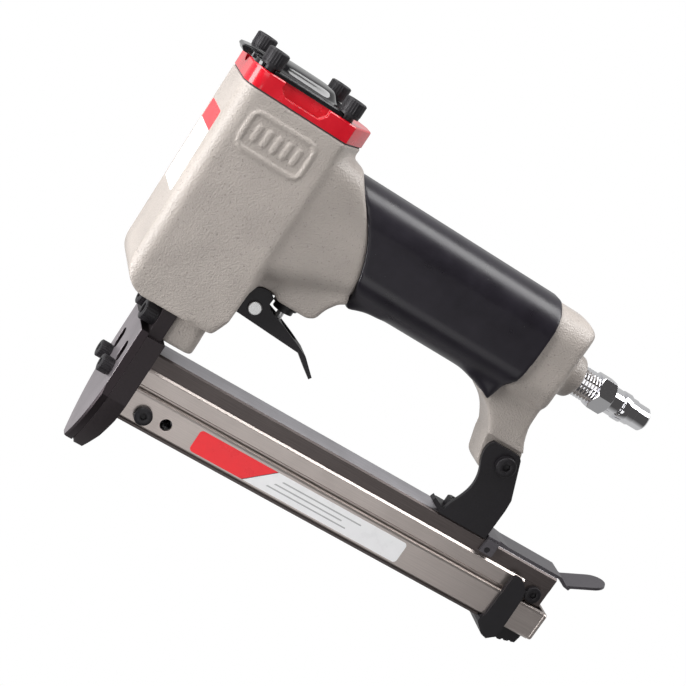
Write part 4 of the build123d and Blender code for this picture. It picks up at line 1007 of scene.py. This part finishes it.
class TACKER_OT_screws(Operator):
    """All hexagon socket screws, with knurled heads on the cap and the nose"""
    bl_idname = "tacker.screws"
    bl_label = "Socket screws"

    def execute(self, context):
        knurl = context.scene.tacker_steel.knurl
        low, high = node_box("cap_screws")
        radius, tall = CAP_M5[0] * MM, CAP_M5[1] * MM
        seats = [(x, y, high.z - tall) for x in (low.x + radius, high.x - radius)
                 for y in (low.y + radius, high.y - radius)]
        screw_set("knurled_cap_screws", "cap_screws", seats, [(0, 0, 1)] * 4, CAP_M5,
                  high.z - tall - low.z, knurl)
        self.nose_pair("knurled_nose_screws", "nose_upper_screws", CAP_M5, knurl)
        self.nose_pair("knurled_guide_screws", "nose_lower_screws", CAP_M4, knurl)
        self.single("bracket_socket_screw", "bracket_screw", BUTTON_M5)
        self.single("rear_socket_screw", "rear_block_screw", BUTTON_M4)

        low, high = node_box("foot_screw")
        seat = high.z - CAP_M4[1] * MM
        screw_set("knurled_foot_screw", "foot_screw", [((low.x + high.x) / 2, 0, seat)], [(0, 0, 1)],
                  CAP_M4, seat - low.z, knurl)

        low, high = node_box("drawer_screws")
        centre = (low + high) / 2
        head = DRAWER_M4[1] * MM
        seats = [(centre.x, low.y + head, centre.z), (centre.x, high.y - head, centre.z)]
        screw_set("drawer_socket_screws", "drawer_screws", seats, [(0, -1, 0), (0, 1, 0)], DRAWER_M4,
                  DRAWER_SHANK)
        return {"FINISHED"}

    def nose_pair(self, name, node, size, knurl):
        """Two screws side by side that point forward from the nose."""
        low, high = node_box(node)
        radius, tall = size[0] * MM, size[1] * MM
        seats = [(low.x + tall, y, (low.z + high.z) / 2) for y in (low.y + radius, high.y - radius)]
        screw_set(name, node, seats, [(-1, 0, 0)] * 2, size, high.x - low.x - tall, knurl)

    def single(self, name, node, size):
        """One screw that comes in from the near side."""
        low, high = node_box(node)
        centre = (low + high) / 2
        tall = size[1] * MM
        screw_set(name, node, [(centre.x, low.y + tall, centre.z)], [(0, -1, 0)], size,
                  high.y - low.y - tall)


class TACKER_OT_springs(Operator):
    """Coil springs of the magazine, the trigger valve and the head valve"""
    bl_idname = "tacker.springs"
    bl_label = "Springs"

    def execute(self, context):
        low, high = node_box("pusher_spring")
        radius, wire, travel = 2.9 * MM, 0.7 * MM, 130 * MM
        piece = spring_piece("magazine_coil", "pusher_spring", low.x, high.x, "X", radius, wire, 30)
        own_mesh(piece)
        # name, node, joint, travel, radius, wire, turns
        trigger_coil = ("trigger_valve_coil", "valve_spring", "valve_stem_slide",
                        2.4 * MM, 1.9 * MM, 0.5 * MM, 5)
        head_coil = ("head_valve_coil", "head_valve_spring", "head_valve_slide",
                     4 * MM, 9.5 * MM, 1.2 * MM, 4)
        for name, node, joint, travel, radius, wire, turns in (trigger_coil, head_coil):
            low, high = node_box(node)
            piece = spring_piece(name, node, low.z, high.z, "Z", radius, wire, turns)
            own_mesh(piece)
        return {"FINISHED"}


class TACKER_PT_panel(Panel):
    """Lists the steps and their settings in the sidebar"""
    bl_idname = "TACKER_PT_panel"
    bl_label = "Point tacker"
    bl_space_type = "VIEW_3D"
    bl_region_type = "UI"
    bl_category = "Tacker"

    def draw(self, context):
        column = self.layout.column()
        for step in STEPS:
            column.operator(step.bl_idname)
        for settings in SETTINGS:
            group = getattr(context.scene, settings)
            for label in group.__annotations__:
                column.prop(group, label)


STEPS = (
    TACKER_OT_stage, TACKER_OT_finishes, TACKER_OT_edges, TACKER_OT_casting, TACKER_OT_grip,
    TACKER_OT_exhaust, TACKER_OT_screws, TACKER_OT_springs,
)
SETTINGS = {
    "tacker_studio": TackerStudioSettings,
    "tacker_casting": TackerCastingSettings,
    "tacker_rubber": TackerRubberSettings,
    "tacker_steel": TackerSteelSettings,
    "tacker_label": TackerLabelSettings,
}


def register():
    for settings, kind in SETTINGS.items():
        bpy.utils.register_class(kind)
        setattr(bpy.types.Scene, settings, PointerProperty(type=kind))
    for step in STEPS:
        bpy.utils.register_class(step)
    bpy.utils.register_class(TACKER_PT_panel)


def unregister():
    bpy.utils.unregister_class(TACKER_PT_panel)
    for step in reversed(STEPS):
        bpy.utils.unregister_class(step)
    for settings, kind in SETTINGS.items():
        delattr(bpy.types.Scene, settings)
        bpy.utils.unregister_class(kind)


def main():
    register()
    bpy.ops.tacker.stage()
    bpy.ops.tacker.finishes()
    bpy.ops.tacker.edges()
    bpy.ops.tacker.casting()
    bpy.ops.tacker.grip()
    bpy.ops.tacker.exhaust()
    bpy.ops.tacker.screws()
    bpy.ops.tacker.springs()


if __name__ == "__main__":
    main()
